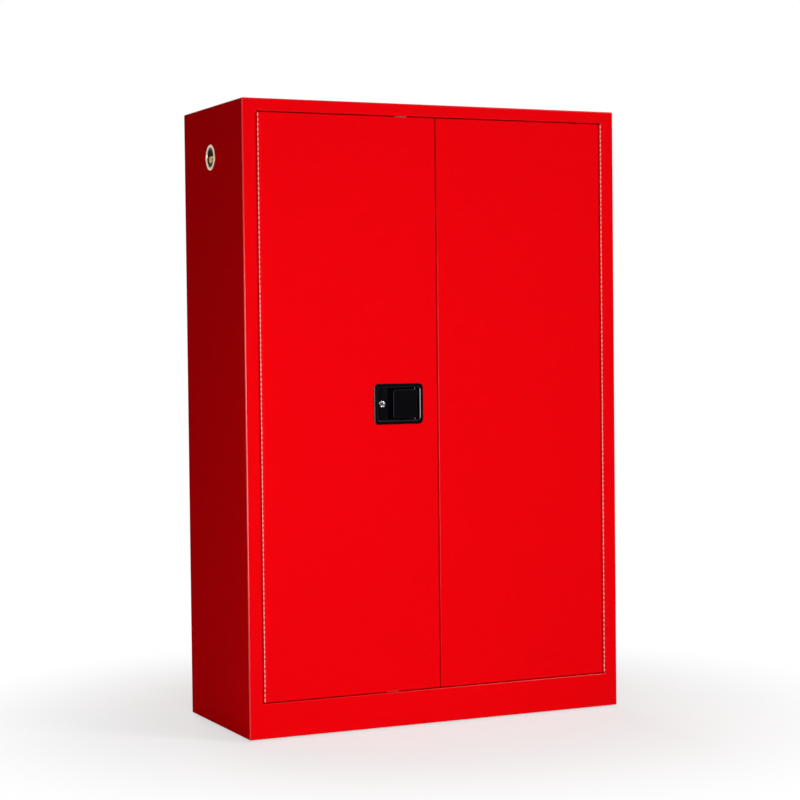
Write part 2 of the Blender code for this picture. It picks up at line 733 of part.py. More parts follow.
def hook_outline(side):
    """A shelf hook seen from the front: seat, stem, neck through the slot and tab behind it."""
    stem, reach = SEAT_GAP, HOOK_REACH
    tab = -(SHEET + SEAT_GAP)
    outline = [(reach, -HOOK_PLATE), (reach, 0.0), (stem + HOOK_PLATE, 0.0), (stem + HOOK_PLATE, HOOK_STEM),
               (tab - HOOK_PLATE, HOOK_STEM), (tab - HOOK_PLATE, HOOK_STEM - HOOK_DROP),
               (tab, HOOK_STEM - HOOK_DROP), (tab, HOOK_STEM - HOOK_PLATE),
               (stem, HOOK_STEM - HOOK_PLATE), (stem, -HOOK_PLATE)]
    return [(-side * u, v) for u, v in outline]


def build_shelf(name, slot):
    """A galvanised shelf on its four hooks."""
    seat = hook_seat(slot)
    low = (-SHELF_X, SHELF_FRONT_Y, seat + SEAT_GAP)
    high = (SHELF_X, SHELF_BACK_Y, seat + SEAT_GAP + SHELF_EDGE)
    finish(folded_sheet(f"{name}_shelf", low, high, ["-Z"], SHELF_BEND, lip=SHELF_LIP), GALVANISED)
    for side_name, side in (("left", -1), ("right", 1)):
        for row, y in rail_rows():
            place = (side * RAIL_FACE_X, y, seat)
            hook = flat_outline(f"{name}_hook_{side_name}_{row}", [hook_outline(side)], HOOK_WIDTH, place, "-Y")
            finish(hook, ZINC_PLATE)


def build_door_seal():
    """The heat-swelling seal that lies round the door stop."""
    x = OPENING_X - SEAL_EDGE_MARGIN
    z = (OPENING_TOP - OPENING_BOTTOM) / 2 - SEAL_EDGE_MARGIN
    outer = [(-x, -z), (x, -z), (x, z), (-x, z)]
    inner = [(u - math.copysign(SEAL_WIDTH, u), v - math.copysign(SEAL_WIDTH, v)) for u, v in outer]
    place = (0, STOP_Y - SEAT_GAP - SEAL_THICKNESS / 2, (OPENING_TOP + OPENING_BOTTOM) / 2)
    finish(flat_outline("door_seal", [outer, inner], SEAL_THICKNESS, place, "-Y"), GREY_SEAL)


def build_vent(name, side, height):
    """One vent: a flanged collar through both walls, a flame screen and a screw-in bung."""
    facing = "-X" if side < 0 else "+X"
    place = (side * SIDE_X, VENT_Y, height)
    face = SEAT_GAP + VENT_FLANGE
    inner = -(SHEET + AIR_SPACE + SHEET)
    collar = turned(f"{name}_vent_collar", [
        (VENT_FLANGE_RADIUS - VENT_FLANGE / 2, face), (VENT_FLANGE_RADIUS, SEAT_GAP + VENT_FLANGE / 2),
        (VENT_FLANGE_RADIUS, SEAT_GAP), (VENT_TUBE_RADIUS, SEAT_GAP), (VENT_TUBE_RADIUS, inner),
        (VENT_SHOULDER_RADIUS, inner), (VENT_SHOULDER_RADIUS, inner + VENT_SHOULDER),
        (VENT_BORE_RADIUS, inner + VENT_SHOULDER), (VENT_BORE_RADIUS, face)], place, facing)
    finish(collar, BRASS)
    build_flame_screen(name, side, height, inner + VENT_SHOULDER + SEAT_GAP + SCREEN_THICKNESS / 2)
    build_bung(name, side, height, face - BUNG_INSET)


def inner_radius(radius):
    """The radius of a round piece that clears a faceted bore all round."""
    return radius * math.cos(math.pi / TURNED_STEPS) - SEAT_GAP


def build_flame_screen(name, side, height, depth):
    """A perforated brass disc on the collar's inner shoulder."""
    outlines = [circle_points(inner_radius(VENT_BORE_RADIUS), TURNED_STEPS), circle_points(SCREEN_HOLE_RADIUS, SCREEN_HOLE_SIDES)]
    for radius, count in zip(SCREEN_RING_RADII, SCREEN_RING_COUNTS):
        for u, v in circle_points(radius, count):
            hole = circle_points(SCREEN_HOLE_RADIUS, SCREEN_HOLE_SIDES, math.atan2(v, u))
            outlines.append([(u + a, v + b) for a, b in hole])
    place = (side * (SIDE_X + depth), VENT_Y, height)
    facing = "-X" if side < 0 else "+X"
    finish(flat_outline(f"{name}_flame_screen", outlines, SCREEN_THICKNESS, place, facing), BRASS)


def build_bung(name, side, height, top):
    """The threaded bung, cupped, with a bar across its cup to turn it by."""
    radius = inner_radius(VENT_BORE_RADIUS)
    place = Vector((side * SIDE_X, VENT_Y, height))
    floor = top - BUNG_CUP_DEPTH
    obj = turned(f"{name}_vent_bung", [
        (0.0, floor), (BUNG_CUP_RADIUS, floor), (BUNG_CUP_RADIUS, top), (radius, top),
        (radius, top - BUNG_LENGTH), (0.0, top - BUNG_LENGTH)], place, "-X" if side < 0 else "+X")
    half_long = BUNG_CUP_RADIUS + WELD_OVERLAP
    ends = sorted((side * (SIDE_X + floor - WELD_OVERLAP), side * (SIDE_X + top - BUNG_BAR_INSET)))
    bar = box(f"{name}_bung_bar", (ends[0], VENT_Y - half_long, height - BUNG_BAR_WIDTH / 2),
              (ends[1], VENT_Y + half_long, height + BUNG_BAR_WIDTH / 2))
    finish(join(obj, bar), BRASS)
    carry(obj, pivot(f"{name}_vent_axis", place))


def build_earth_stud():
    """The earthing stud with its hexagon head."""
    head = (SIDE_X + SEAT_GAP, EARTH_Y, EARTH_HEIGHT)
    head_end = (SIDE_X + SEAT_GAP + EARTH_HEAD, EARTH_Y, EARTH_HEIGHT)
    stud = (SIDE_X - EARTH_STUD_IN, EARTH_Y, EARTH_HEIGHT)
    stud_end = (SIDE_X + EARTH_STUD_OUT, EARTH_Y, EARTH_HEIGHT)
    obj = cylinder("earth_stud", EARTH_STUD_RADIUS, stud, stud_end, PIN_SIDES)
    join(obj, cylinder("earth_stud_head", EARTH_HEAD_RADIUS, head, head_end, EARTH_HEAD_SIDES))
    finish(obj, BRASS)


def knuckle_outline(side):
    """A rolled knuckle and its neck to the leaf, on the given side of the pin, seen from above."""
    meet = math.acos((BARREL_RADIUS - LEAF_THICKNESS) / BARREL_RADIUS)
    sweep = 2 * math.pi - meet
    neck = LEAF_NECK + WELD_OVERLAP
    roll = [-sweep * i / BARREL_FACETS for i in range(BARREL_FACETS + 1)]
    outline = [(BARREL_RADIUS, neck)]
    outline += [(BARREL_RADIUS * math.cos(a), BARREL_RADIUS * math.sin(a)) for a in roll]
    outline.append((BARREL_RADIUS - LEAF_THICKNESS, neck))
    return [(side * u, v) for u, v in outline]


def build_leaf(name, hinge_x, side, first):
    """One leaf of a piano hinge: a strip with every other knuckle along its edge."""
    count = int((DOOR_TOP - DOOR_BOTTOM) / KNUCKLE_SPACING)
    start = (DOOR_TOP + DOOR_BOTTOM - count * KNUCKLE_SPACING) / 2 + KNUCKLE_SPACING / 2
    ends = sorted((hinge_x + side * (BARREL_RADIUS - LEAF_THICKNESS), hinge_x + side * BARREL_RADIUS))
    obj = box(name, (ends[0], HINGE_Y + LEAF_NECK, DOOR_BOTTOM), (ends[1], HINGE_Y + LEAF_WIDTH, DOOR_TOP))
    bore = circle_points(clear_radius(HINGE_PIN_RADIUS, HINGE_BORE_SIDES), HINGE_BORE_SIDES, math.pi / HINGE_BORE_SIDES)
    place = (hinge_x, HINGE_Y, start + first * KNUCKLE_SPACING)
    outlines = [knuckle_outline(side), bore]
    knuckle = flat_outline(f"{name}_knuckles", outlines, KNUCKLE_SPACING - KNUCKLE_GAP, place, "+Z")
    repeat(knuckle, (count - first + 1) // 2, (0, 0, 2 * KNUCKLE_SPACING))
    return finish(join(obj, knuckle), RED_POWDER_COAT)


def build_hinge(name, side, door):
    """A piano hinge: the frame's leaf, the door's leaf and the pin."""
    hinge_x = side * HINGE_X
    build_leaf(f"{name}_frame_leaf", hinge_x, side, 0)
    carry(build_leaf(f"{name}_door_leaf", hinge_x, -side, 1), door)
    count = int((DOOR_TOP - DOOR_BOTTOM) / KNUCKLE_SPACING)
    reach = count * KNUCKLE_SPACING / 2 + PIN_END
    middle = (DOOR_TOP + DOOR_BOTTOM) / 2
    ends = [(hinge_x, HINGE_Y, middle - reach), (hinge_x, HINGE_Y, middle + reach)]
    finish(cylinder(f"{name}_hinge_pin", HINGE_PIN_RADIUS, *ends, PIN_SIDES), ZINC_PLATE)


def door_span(side):
    """The low and high x of a door."""
    return sorted((side * DOOR_MEET_X, side * DOOR_EDGE_X))


def build_door_skin(name, side):
    """A door's outer pan: the face and its four edges."""
    low_x, high_x = door_span(side)
    return folded_sheet(name, (low_x, FRONT_Y, DOOR_BOTTOM), (high_x, DOOR_BACK_Y, DOOR_TOP), ["+Y"], DOOR_BEND)


def build_door_pan(name, side):
    """A door's inner pan, which fits inside the outer one with its flanges forwards."""
    low_x, high_x = door_span(side)
    inset = SHEET + SEAT_GAP
    low = (low_x + inset, DOOR_BACK_Y - DOOR_PAN_FLANGE, DOOR_BOTTOM + inset)
    high = (high_x - inset, DOOR_BACK_Y, DOOR_TOP - inset)
    return finish(folded_sheet(name, low, high, ["-Y"], DOOR_BEND), RED_POWDER_COAT)


def bolt_slot(name, x, reach):
    """The centre bolt's slot through an upright sheet."""
    deep = LATCH_PLATE / 2 + BOLT_HOLE_PLAY
    tall = BOLT_TALL / 2 + BOLT_HOLE_PLAY
    return box(name, (x - reach, BOLT_Y - deep, BOLT_HEIGHT - tall), (x + reach, BOLT_Y + deep, BOLT_HEIGHT + tall))


def rod_hole(name, x, edge):
    """A latch rod's hole through the top or the bottom edge of the door."""
    radius = clear_radius(ROD_RADIUS, ROD_SIDES)
    reach = SHEET + CUT_OVERRUN
    return cylinder(name, radius, (x, LATCH_Y, edge - reach), (x, LATCH_Y, edge + reach), ROD_SIDES)


def build_left_door(door):
    """The left door's two pans, with the openings for the handle and the bolts."""
    skin = build_door_skin("left_door_skin", -1)
    half_wide, half_tall = CUP_WIDTH / 2 + CUP_PLAY, CUP_TALL / 2 + CUP_PLAY
    low = (HANDLE_X - half_wide, FRONT_Y - CUT_OVERRUN, HANDLE_HEIGHT - half_tall)
    high = (HANDLE_X + half_wide, FRONT_Y + SHEET + CUT_OVERRUN, HANDLE_HEIGHT + half_tall)
    cut(skin, rounded_box("handle_opening", low, high, CUP_CORNER, "Y"))
    cut(skin, rod_hole("upper_rod_hole", UPPER_ROD_X, DOOR_TOP), rod_hole("lower_rod_hole", LOWER_ROD_X, DOOR_BOTTOM))
    cut(skin, bolt_slot("left_bolt_slot", -DOOR_MEET_X, SHEET + CUT_OVERRUN))
    carry(finish(skin, RED_POWDER_COAT), door)
    carry(build_door_pan("left_door_pan", -1), door)


def build_right_door(door):
    """The right door's two pans and the strike for the centre bolt."""
    skin = build_door_skin("right_door_skin", 1)
    cut(skin, bolt_slot("right_bolt_slot", DOOR_MEET_X, SHEET + CUT_OVERRUN))
    carry(finish(skin, RED_POWDER_COAT), door)
    carry(build_door_pan("right_door_pan", 1), door)
    low_x = DOOR_MEET_X + SHEET + SEAT_GAP
    high_y = DOOR_BACK_Y - DOOR_PAN_FLANGE - SEAT_GAP
    low = (low_x, BOLT_Y - CENTRE_STRIKE_FRONT, BOLT_HEIGHT - CENTRE_STRIKE_TALL / 2)
    high = (low_x + STRIKE_THICKNESS, high_y, BOLT_HEIGHT + CENTRE_STRIKE_TALL / 2)
    strike = box("centre_strike", low, high)
    cut(strike, bolt_slot("centre_strike_slot", low_x, STRIKE_THICKNESS + CUT_OVERRUN))
    carry(finish(strike, ZINC_PLATE), door)


def build_strikes():
    """The strike plates for the two rods, on the header and on the sill."""
    radius = clear_radius(ROD_RADIUS, ROD_SIDES, STRIKE_BORE_PLAY)
    head = OPENING_TOP - SEAT_GAP - STRIKE_THICKNESS
    for name, x, z in (("head_strike", UPPER_ROD_X, head), ("sill_strike", LOWER_ROD_X, OPENING_BOTTOM + SEAT_GAP)):
        low = (x - STRIKE_WIDTH / 2, LATCH_Y - STRIKE_LENGTH / 2, z)
        high = (x + STRIKE_WIDTH / 2, LATCH_Y + STRIKE_LENGTH / 2, z + STRIKE_THICKNESS)
        ends = [(x, LATCH_Y, z - CUT_OVERRUN), (x, LATCH_Y, z + STRIKE_THICKNESS + CUT_OVERRUN)]
        finish(cut(box(name, low, high), cylinder(f"{name}_hole", radius, *ends, ROD_SIDES)), ZINC_PLATE)


def build_handle_housing(door):
    """The moulded housing: a rounded bezel, a cup behind it, a ledge for the key and a pocket for the fingers."""
    x, z = HANDLE_X, HANDLE_HEIGHT
    bezel_low = (x - BEZEL_WIDTH / 2, BEZEL_FRONT_Y, z - BEZEL_TALL / 2)
    bezel_high = (x + BEZEL_WIDTH / 2, FRONT_Y - SEAT_GAP, z + BEZEL_TALL / 2)
    housing = rounded_box("handle_housing", bezel_low, bezel_high, BEZEL_CORNER, "Y")
    cup_low = (x - CUP_WIDTH / 2, BEZEL_FRONT_Y + BEZEL_THICKNESS / 2, z - CUP_TALL / 2)
    cup_high = (x + CUP_WIDTH / 2, CUP_BACK_Y, z + CUP_TALL / 2)
    join(housing, rounded_box("handle_cup", cup_low, cup_high, CUP_CORNER, "Y"))
    mouth_low = (x - POCKET_HALF_WIDTH, BEZEL_FRONT_Y - CUT_OVERRUN, z - POCKET_HALF_TALL)
    mouth_high = (x + POCKET_HALF_WIDTH, KEY_LEDGE_Y, z + POCKET_HALF_TALL)
    ledge_x = x - POCKET_HALF_WIDTH + KEY_LEDGE_WIDTH
    pocket_low = (ledge_x, BEZEL_FRONT_Y - CUT_OVERRUN, z - POCKET_HALF_TALL)
    pocket_high = (x + POCKET_HALF_WIDTH, CUP_BACK_Y - CUP_WALL, z + POCKET_HALF_TALL)
    corner = CUP_CORNER - CUP_WALL
    cut(housing, rounded_box("handle_mouth", mouth_low, mouth_high, corner, "Y"))
    cut(housing, rounded_box("finger_pocket", pocket_low, pocket_high, corner, "Y"))
    key_ends = [(KEY_X, BEZEL_FRONT_Y, z), (KEY_X, CUP_BACK_Y + CUT_OVERRUN, z)]
    cut(housing, cylinder("key_hole", clear_radius(CYLINDER_RADIUS, KEY_SIDES), *key_ends, KEY_SIDES))
    reach = CUP_TALL / 2 + CUT_OVERRUN
    pin_ends = [(PADDLE_AXIS_X, PADDLE_AXIS_Y, z - reach), (PADDLE_AXIS_X, PADDLE_AXIS_Y, z + reach)]
    cut(housing, cylinder("paddle_pin_hole", clear_radius(PADDLE_PIN_RADIUS, PIN_SIDES), *pin_ends, PIN_SIDES))
    swing = (CUP_BACK_Y - PADDLE_AXIS_Y) * math.tan(PADDLE_TRAVEL) + TAIL_THICKNESS
    slot_low = (PADDLE_AXIS_X - swing, CUP_BACK_Y - CUP_WALL - CUT_OVERRUN, tail_bottom() - CRANK_PLAY)
    slot_high = (PADDLE_AXIS_X + TAIL_THICKNESS, CUP_BACK_Y + CUT_OVERRUN, tail_bottom() + TAIL_TALL + CRANK_PLAY)
    cut(housing, box("tail_slot", slot_low, slot_high))
    carry(finish(housing, BLACK_PLASTIC), door)
    pin_reach = CUP_TALL / 2 - SEAT_GAP
    pin_ends = [(PADDLE_AXIS_X, PADDLE_AXIS_Y, z - pin_reach), (PADDLE_AXIS_X, PADDLE_AXIS_Y, z + pin_reach)]
    carry(finish(cylinder("paddle_pin", PADDLE_PIN_RADIUS, *pin_ends, PIN_SIDES), ZINC_PLATE), door)


def tail_bottom():
    """The lower edge of the paddle's tail, level with the bolt."""
    return BOLT_HEIGHT - TAIL_TALL / 2


def build_paddle(door):
    """The paddle: a flap with a finger lip, a barrel on its pin and a tail that pulls the bolt."""
    z = HANDLE_HEIGHT
    front = FRONT_Y - PADDLE_PROUD
    back = front + PADDLE_THICKNESS
    flap = rounded_box("paddle", (PADDLE_LEFT_X, front, z - PADDLE_TALL / 2),
                       (PADDLE_RIGHT_X, back, z + PADDLE_TALL / 2), PADDLE_CORNER, "Y")
    lip_half = PADDLE_TALL / 2 - PADDLE_CORNER - PADDLE_LIP_INSET
    lip_x = PADDLE_LEFT_X + PADDLE_LIP_INSET
    join(flap, box("paddle_lip", (lip_x, back - WELD_OVERLAP, z - lip_half),
                   (lip_x + PADDLE_LIP_THICKNESS, back + PADDLE_LIP, z + lip_half)))
    barrel_ends = [(PADDLE_AXIS_X, PADDLE_AXIS_Y, z - lip_half), (PADDLE_AXIS_X, PADDLE_AXIS_Y, z + lip_half)]
    join(flap, cylinder("paddle_barrel", PADDLE_BARREL_RADIUS, *barrel_ends, KEY_SIDES))
    tail_end = BOLT_Y + LATCH_PLATE / 2 + TAIL_PAST_BOLT
    join(flap, box("paddle_tail", (PADDLE_AXIS_X - TAIL_THICKNESS / 2, PADDLE_AXIS_Y, tail_bottom()),
                   (PADDLE_AXIS_X + TAIL_THICKNESS / 2, tail_end, tail_bottom() + TAIL_TALL)))
    reach = PADDLE_TALL / 2 + CUT_OVERRUN
    bore_ends = [(PADDLE_AXIS_X, PADDLE_AXIS_Y, z - reach), (PADDLE_AXIS_X, PADDLE_AXIS_Y, z + reach)]
    cut(flap, cylinder("paddle_bore", clear_radius(PADDLE_PIN_RADIUS, PIN_SIDES), *bore_ends, PIN_SIDES))
    axis = pivot("paddle_axis", (PADDLE_AXIS_X, PADDLE_AXIS_Y, z), door)
    carry(finish(flap, BLACK_PLASTIC), axis)


def build_key_cylinder(door):
    """The lock's chrome cylinder and the plug that turns in it."""
    place = Vector((KEY_X, KEY_LEDGE_Y, HANDLE_HEIGHT))
    rim, back = SEAT_GAP + CYLINDER_RIM, -(CUP_BACK_Y - KEY_LEDGE_Y)
    bore = clear_radius(PLUG_RADIUS, KEY_SIDES)
    obj = turned("key_cylinder", [
        (CYLINDER_RIM_RADIUS - CYLINDER_RIM / 2, rim), (CYLINDER_RIM_RADIUS, SEAT_GAP + CYLINDER_RIM / 2),
        (CYLINDER_RIM_RADIUS, SEAT_GAP), (CYLINDER_RADIUS, SEAT_GAP), (CYLINDER_RADIUS, back),
        (bore, back), (bore, rim)], place, "-Y", KEY_SIDES)
    carry(finish(obj, CHROME), door)
    front_y = KEY_LEDGE_Y - rim - PLUG_PROUD
    cam_y = CUP_BACK_Y + KEY_CAM_GAP
    plug = cylinder("key_plug", PLUG_RADIUS, (KEY_X, front_y, HANDLE_HEIGHT), (KEY_X, cam_y + WELD_OVERLAP, HANDLE_HEIGHT), KEY_SIDES)
    cut(plug, box("keyway", (KEY_X - KEYWAY_WIDTH / 2, front_y - CUT_OVERRUN, HANDLE_HEIGHT - KEYWAY_TALL / 2),
                  (KEY_X + KEYWAY_WIDTH / 2, front_y + KEYWAY_DEPTH, HANDLE_HEIGHT + KEYWAY_TALL / 2)))
    join(plug, box("key_cam", (KEY_X - KEY_CAM_WIDTH / 2, cam_y, HANDLE_HEIGHT - KEY_CAM_WIDTH / 2),
                   (KEY_X + KEY_CAM_WIDTH / 2, cam_y + KEY_CAM_THICKNESS, HANDLE_HEIGHT + KEY_CAM_LENGTH)))
    carry(finish(plug, CHROME), pivot("key_axis", (KEY_X, front_y, HANDLE_HEIGHT), door))


def build_lock_plate(door):
    """The plate on the door's inner pan that carries the rotor on its hub."""
    x, z = HANDLE_X, HANDLE_HEIGHT
    low = (x - LOCK_PLATE_WIDTH / 2, LOCK_PLATE_Y - LOCK_PLATE_THICKNESS, z - LOCK_PLATE_TALL / 2)
    high = (x + LOCK_PLATE_WIDTH / 2, LOCK_PLATE_Y, z + LOCK_PLATE_TALL / 2)
    plate = rounded_box("lock_plate", low, high, PADDLE_CORNER, "Y", 2)
    hub_ends = [(x, LOCK_PLATE_Y - WELD_OVERLAP, z), (x, ROTOR_FRONT_Y - HUB_PAST_ROTOR, z)]
    join(plate, cylinder("rotor_hub", HUB_RADIUS, *hub_ends, ROD_SIDES))
    shoulder_ends = [(x, LOCK_PLATE_Y - WELD_OVERLAP, z), (x, ROTOR_BACK_Y + SEAT_GAP, z)]
    join(plate, cylinder("rotor_shoulder", HUB_RADIUS + LATCH_PLATE, *shoulder_ends, ROD_SIDES))
    carry(finish(plate, ZINC_PLATE), door)


def crank_places():
    """The rotor's crank pins: name, x, z and the y of the tip."""
    bolt_tip = BOLT_Y - LATCH_PLATE / 2 - CRANK_PIN_PAST_BOLT
    return [("upper_crank", UPPER_ROD_X, HANDLE_HEIGHT, ROD_EYE_FRONT_Y),
            ("lower_crank", LOWER_ROD_X, HANDLE_HEIGHT, ROD_EYE_FRONT_Y),
            ("bolt_crank", HANDLE_X, BOLT_HEIGHT, bolt_tip)]


def build_rotor(door):
    """The rotor: a disc on the hub with three crank pins, for the two rods and the centre bolt."""
    x, z = HANDLE_X, HANDLE_HEIGHT
    disc_ends = [(x, ROTOR_FRONT_Y, z), (x, ROTOR_BACK_Y, z)]
    rotor = cylinder("latch_rotor", ROTOR_RADIUS, *disc_ends, TURNED_STEPS)
    for name, pin_x, pin_z, tip in crank_places():
        ends = [(pin_x, ROTOR_FRONT_Y + WELD_OVERLAP, pin_z), (pin_x, tip, pin_z)]
        join(rotor, cylinder(name, CRANK_PIN_RADIUS, *ends, PIN_SIDES))
    bore_ends = [(x, ROTOR_FRONT_Y - CUT_OVERRUN, z), (x, ROTOR_BACK_Y + CUT_OVERRUN, z)]
    cut(rotor, cylinder("rotor_bore", clear_radius(HUB_RADIUS, ROD_SIDES), *bore_ends, ROD_SIDES))
    carry(finish(rotor, ZINC_PLATE), pivot("rotor_axis", (x, ROTOR_FRONT_Y, z), door))


def build_rod(name, door, x, up, collar_height=None):
    """A latch rod with a tapered nose and a slotted eye on its crank pin; up is 1 or -1."""
    edge = DOOR_TOP if up > 0 else DOOR_BOTTOM
    tip = edge + up * ROD_TIP_PROUD
    slot_half = CRANK_PIN_RADIUS + CRANK_PLAY
    inward = -1 if x > HANDLE_X else 1
    foot = HANDLE_HEIGHT + up * (slot_half + EYE_MARGIN - WELD_OVERLAP)
    long = abs(tip - foot)
    profile = [(0.0, long), (ROD_NOSE_RADIUS, long), (ROD_RADIUS, long - ROD_NOSE)]
    if collar_height is not None:
        top = collar_height + COLLAR_LENGTH - foot
        profile += [(ROD_RADIUS, top), (COLLAR_RADIUS, top), (COLLAR_RADIUS, top - COLLAR_LENGTH),
                    (ROD_RADIUS, top - COLLAR_LENGTH)]
    profile += [(ROD_RADIUS, 0.0), (0.0, 0.0)]
    rod = turned(name, profile, (x, LATCH_Y, foot), "+Z" if up > 0 else "-Z", ROD_SIDES)
    slot_x = sorted((x - inward * slot_half, x + inward * (slot_half + CRANK_SHIFT)))
    thick = LATCH_PLATE / 2
    join(rod, box(f"{name}_eye", (slot_x[0] - EYE_MARGIN, LATCH_Y - thick, HANDLE_HEIGHT - slot_half - EYE_MARGIN),
                  (slot_x[1] + EYE_MARGIN, LATCH_Y + thick, HANDLE_HEIGHT + slot_half + EYE_MARGIN)))
    cut(rod, box(f"{name}_slot", (slot_x[0], LATCH_Y - ROD_RADIUS - CUT_OVERRUN, HANDLE_HEIGHT - slot_half),
                 (slot_x[1], LATCH_Y + ROD_RADIUS + CUT_OVERRUN, HANDLE_HEIGHT + slot_half)))
    carry(finish(rod, ZINC_PLATE), pivot(f"{name}_axis", (x, LATCH_Y, foot), door))


def build_bolt(door):
    """The centre bolt: a flat bar with slots for the rotor's crank pin and the paddle's tail."""
    left = HANDLE_X - BOLT_END_PAST_PIN
    right = -DOOR_MEET_X - BOLT_TIP_SETBACK
    thick = LATCH_PLATE / 2
    bolt = rounded_box("centre_bolt", (left, BOLT_Y - thick, BOLT_HEIGHT - BOLT_TALL / 2),
                       (right, BOLT_Y + thick, BOLT_HEIGHT + BOLT_TALL / 2), BOLT_CORNER, "Y", 2)
    half = CRANK_PIN_RADIUS + CRANK_PLAY
    reach = thick + CUT_OVERRUN
    cut(bolt, box("crank_slot", (HANDLE_X - half, BOLT_Y - reach, BOLT_HEIGHT - half),
                  (HANDLE_X + half, BOLT_Y + reach, BOLT_HEIGHT + half + CRANK_SHIFT)))
    half = TAIL_THICKNESS / 2 + TAIL_SLOT_PLAY
    cut(bolt, box("bolt_tail_slot", (PADDLE_AXIS_X - half, BOLT_Y - reach, tail_bottom() - CRANK_PLAY),
                  (PADDLE_AXIS_X + half, BOLT_Y + reach, tail_bottom() + TAIL_TALL + CRANK_PLAY)))
    carry(finish(bolt, ZINC_PLATE), pivot("centre_bolt_axis", (HANDLE_X, BOLT_Y, BOLT_HEIGHT), door))


def build_rod_guide(name, door, x, z):
    """An angle bracket on the inner pan with a rod's hole through it."""
    back = DOOR_PAN_FRONT_Y - SEAT_GAP
    front = LATCH_Y - ROD_RADIUS - GUIDE_PAST_ROD
    half = GUIDE_WIDTH / 2
    guide = box(name, (x - half, front, z), (x + half, back, z + GUIDE_THICKNESS))
    join(guide, box(f"{name}_foot", (x - half, back - GUIDE_THICKNESS, z + GUIDE_THICKNESS - GUIDE_FOOT),
                    (x + half, back, z + GUIDE_THICKNESS / 2)))
    ends = [(x, LATCH_Y, z - CUT_OVERRUN), (x, LATCH_Y, z + GUIDE_THICKNESS + CUT_OVERRUN)]
    cut(guide, cylinder(f"{name}_hole", clear_radius(ROD_RADIUS, ROD_SIDES), *ends, ROD_SIDES))
    carry(finish(guide, ZINC_PLATE), door)


def build_bolt_guide(door):
    """The angle bracket that steadies the centre bolt by the door's edge."""
    x = -DOOR_MEET_X - BOLT_GUIDE_FROM_EDGE
    back = DOOR_PAN_FRONT_Y - SEAT_GAP
    front = BOLT_Y - LATCH_PLATE / 2 - GUIDE_PAST_ROD / 2
    half = BOLT_TALL / 2 + GUIDE_PAST_ROD
    guide = box("bolt_guide", (x, front, BOLT_HEIGHT - half), (x + GUIDE_THICKNESS, back, BOLT_HEIGHT + half))
    join(guide, box("bolt_guide_foot", (x + GUIDE_THICKNESS - GUIDE_FOOT, back - GUIDE_THICKNESS, BOLT_HEIGHT - half),
                    (x + GUIDE_THICKNESS / 2, back, BOLT_HEIGHT + half)))
    cut(guide, bolt_slot("bolt_guide_slot", x + GUIDE_THICKNESS / 2, GUIDE_THICKNESS + CUT_OVERRUN))
    carry(finish(guide, ZINC_PLATE), door)


def build_rod_spring(door, bottom):
    """The coil spring that lifts the upper rod, between its guide and the rod's collar."""
    curve = bpy.data.curves.new("rod_spring", "CURVE")
    curve.dimensions = "3D"
    curve.bevel_depth = SPRING_WIRE_RADIUS
    curve.bevel_resolution = 0
    curve.use_fill_caps = True
    spline = curve.splines.new("POLY")
    steps = SPRING_COILS * SPRING_POINTS
    spline.points.add(steps)
    rise = SPRING_LENGTH - 2 * (SPRING_WIRE_RADIUS + SEAT_GAP)
    for i, point in enumerate(spline.points):
        turn = 2 * math.pi * i / SPRING_POINTS
        point.co = (SPRING_RADIUS * math.cos(turn), SPRING_RADIUS * math.sin(turn), rise * i / steps, 1.0)
    place = (UPPER_ROD_X, LATCH_Y, bottom + SPRING_WIRE_RADIUS + SEAT_GAP)
    carry(finish(mesh_of_curve(curve, "rod_spring", place, Matrix()), SPRING_STEEL), door)


def build_latch(door):
    """The three-point latch: plate, rotor, rods, bolt, guides and spring."""
    upper_guide = DOOR_TOP - ROD_GUIDE_FROM_EDGE
    spring_bottom = upper_guide + GUIDE_THICKNESS
    build_lock_plate(door)
    build_rotor(door)
    build_rod("upper_rod", door, UPPER_ROD_X, 1, spring_bottom + SPRING_LENGTH)
    build_rod("lower_rod", door, LOWER_ROD_X, -1)
    build_bolt(door)
    build_rod_guide("upper_rod_guide", door, UPPER_ROD_X, upper_guide)
    build_rod_guide("lower_rod_guide", door, LOWER_ROD_X, DOOR_BOTTOM + ROD_GUIDE_FROM_EDGE)
    build_bolt_guide(door)
    build_rod_spring(door, spring_bottom)


def main():
    """Builds the body, what stands in it, the hinges, the doors and the latch."""
    clear_scene()
    build_outer_shell()
    build_back_panel()
    build_floor_panel()
    build_feet()
    build_inner_liner()
    build_spill_tray()
    build_shelf_rails()
    build_shelf("lower", LOWER_SHELF_SLOT)
    build_shelf("upper", UPPER_SHELF_SLOT)
    build_door_seal()
    build_vent("upper", -1, UPPER_VENT_HEIGHT)
    build_vent("lower", 1, LOWER_VENT_HEIGHT)
    build_earth_stud()
    build_strikes()
    left = pivot("left_door_axis", (-HINGE_X, HINGE_Y, DOOR_BOTTOM))
    right = pivot("right_door_axis", (HINGE_X, HINGE_Y, DOOR_BOTTOM))
    build_hinge("left", -1, left)
    build_hinge("right", 1, right)
    build_left_door(left)
    build_right_door(right)
    build_handle_housing(left)
    build_paddle(left)
    build_key_cylinder(left)
    build_latch(left)


main()
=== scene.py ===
"""The dressed look of a two-door safety cabinet for flammables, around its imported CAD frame.

Each sub-assembly is a class with its sizes as fields. It builds its meshes, dresses them
in a finish and hangs them on the CAD body that carries them. All sizes are in metres, in
the frame of the CAD: +Z is up and the doors face -Y.
"""

import logging
import math
import sys
from collections.abc import Callable, Iterable, Sequence
from dataclasses import dataclass, field
from enum import Enum
from functools import cached_property

import bmesh
import bpy
from mathutils import Matrix, Vector

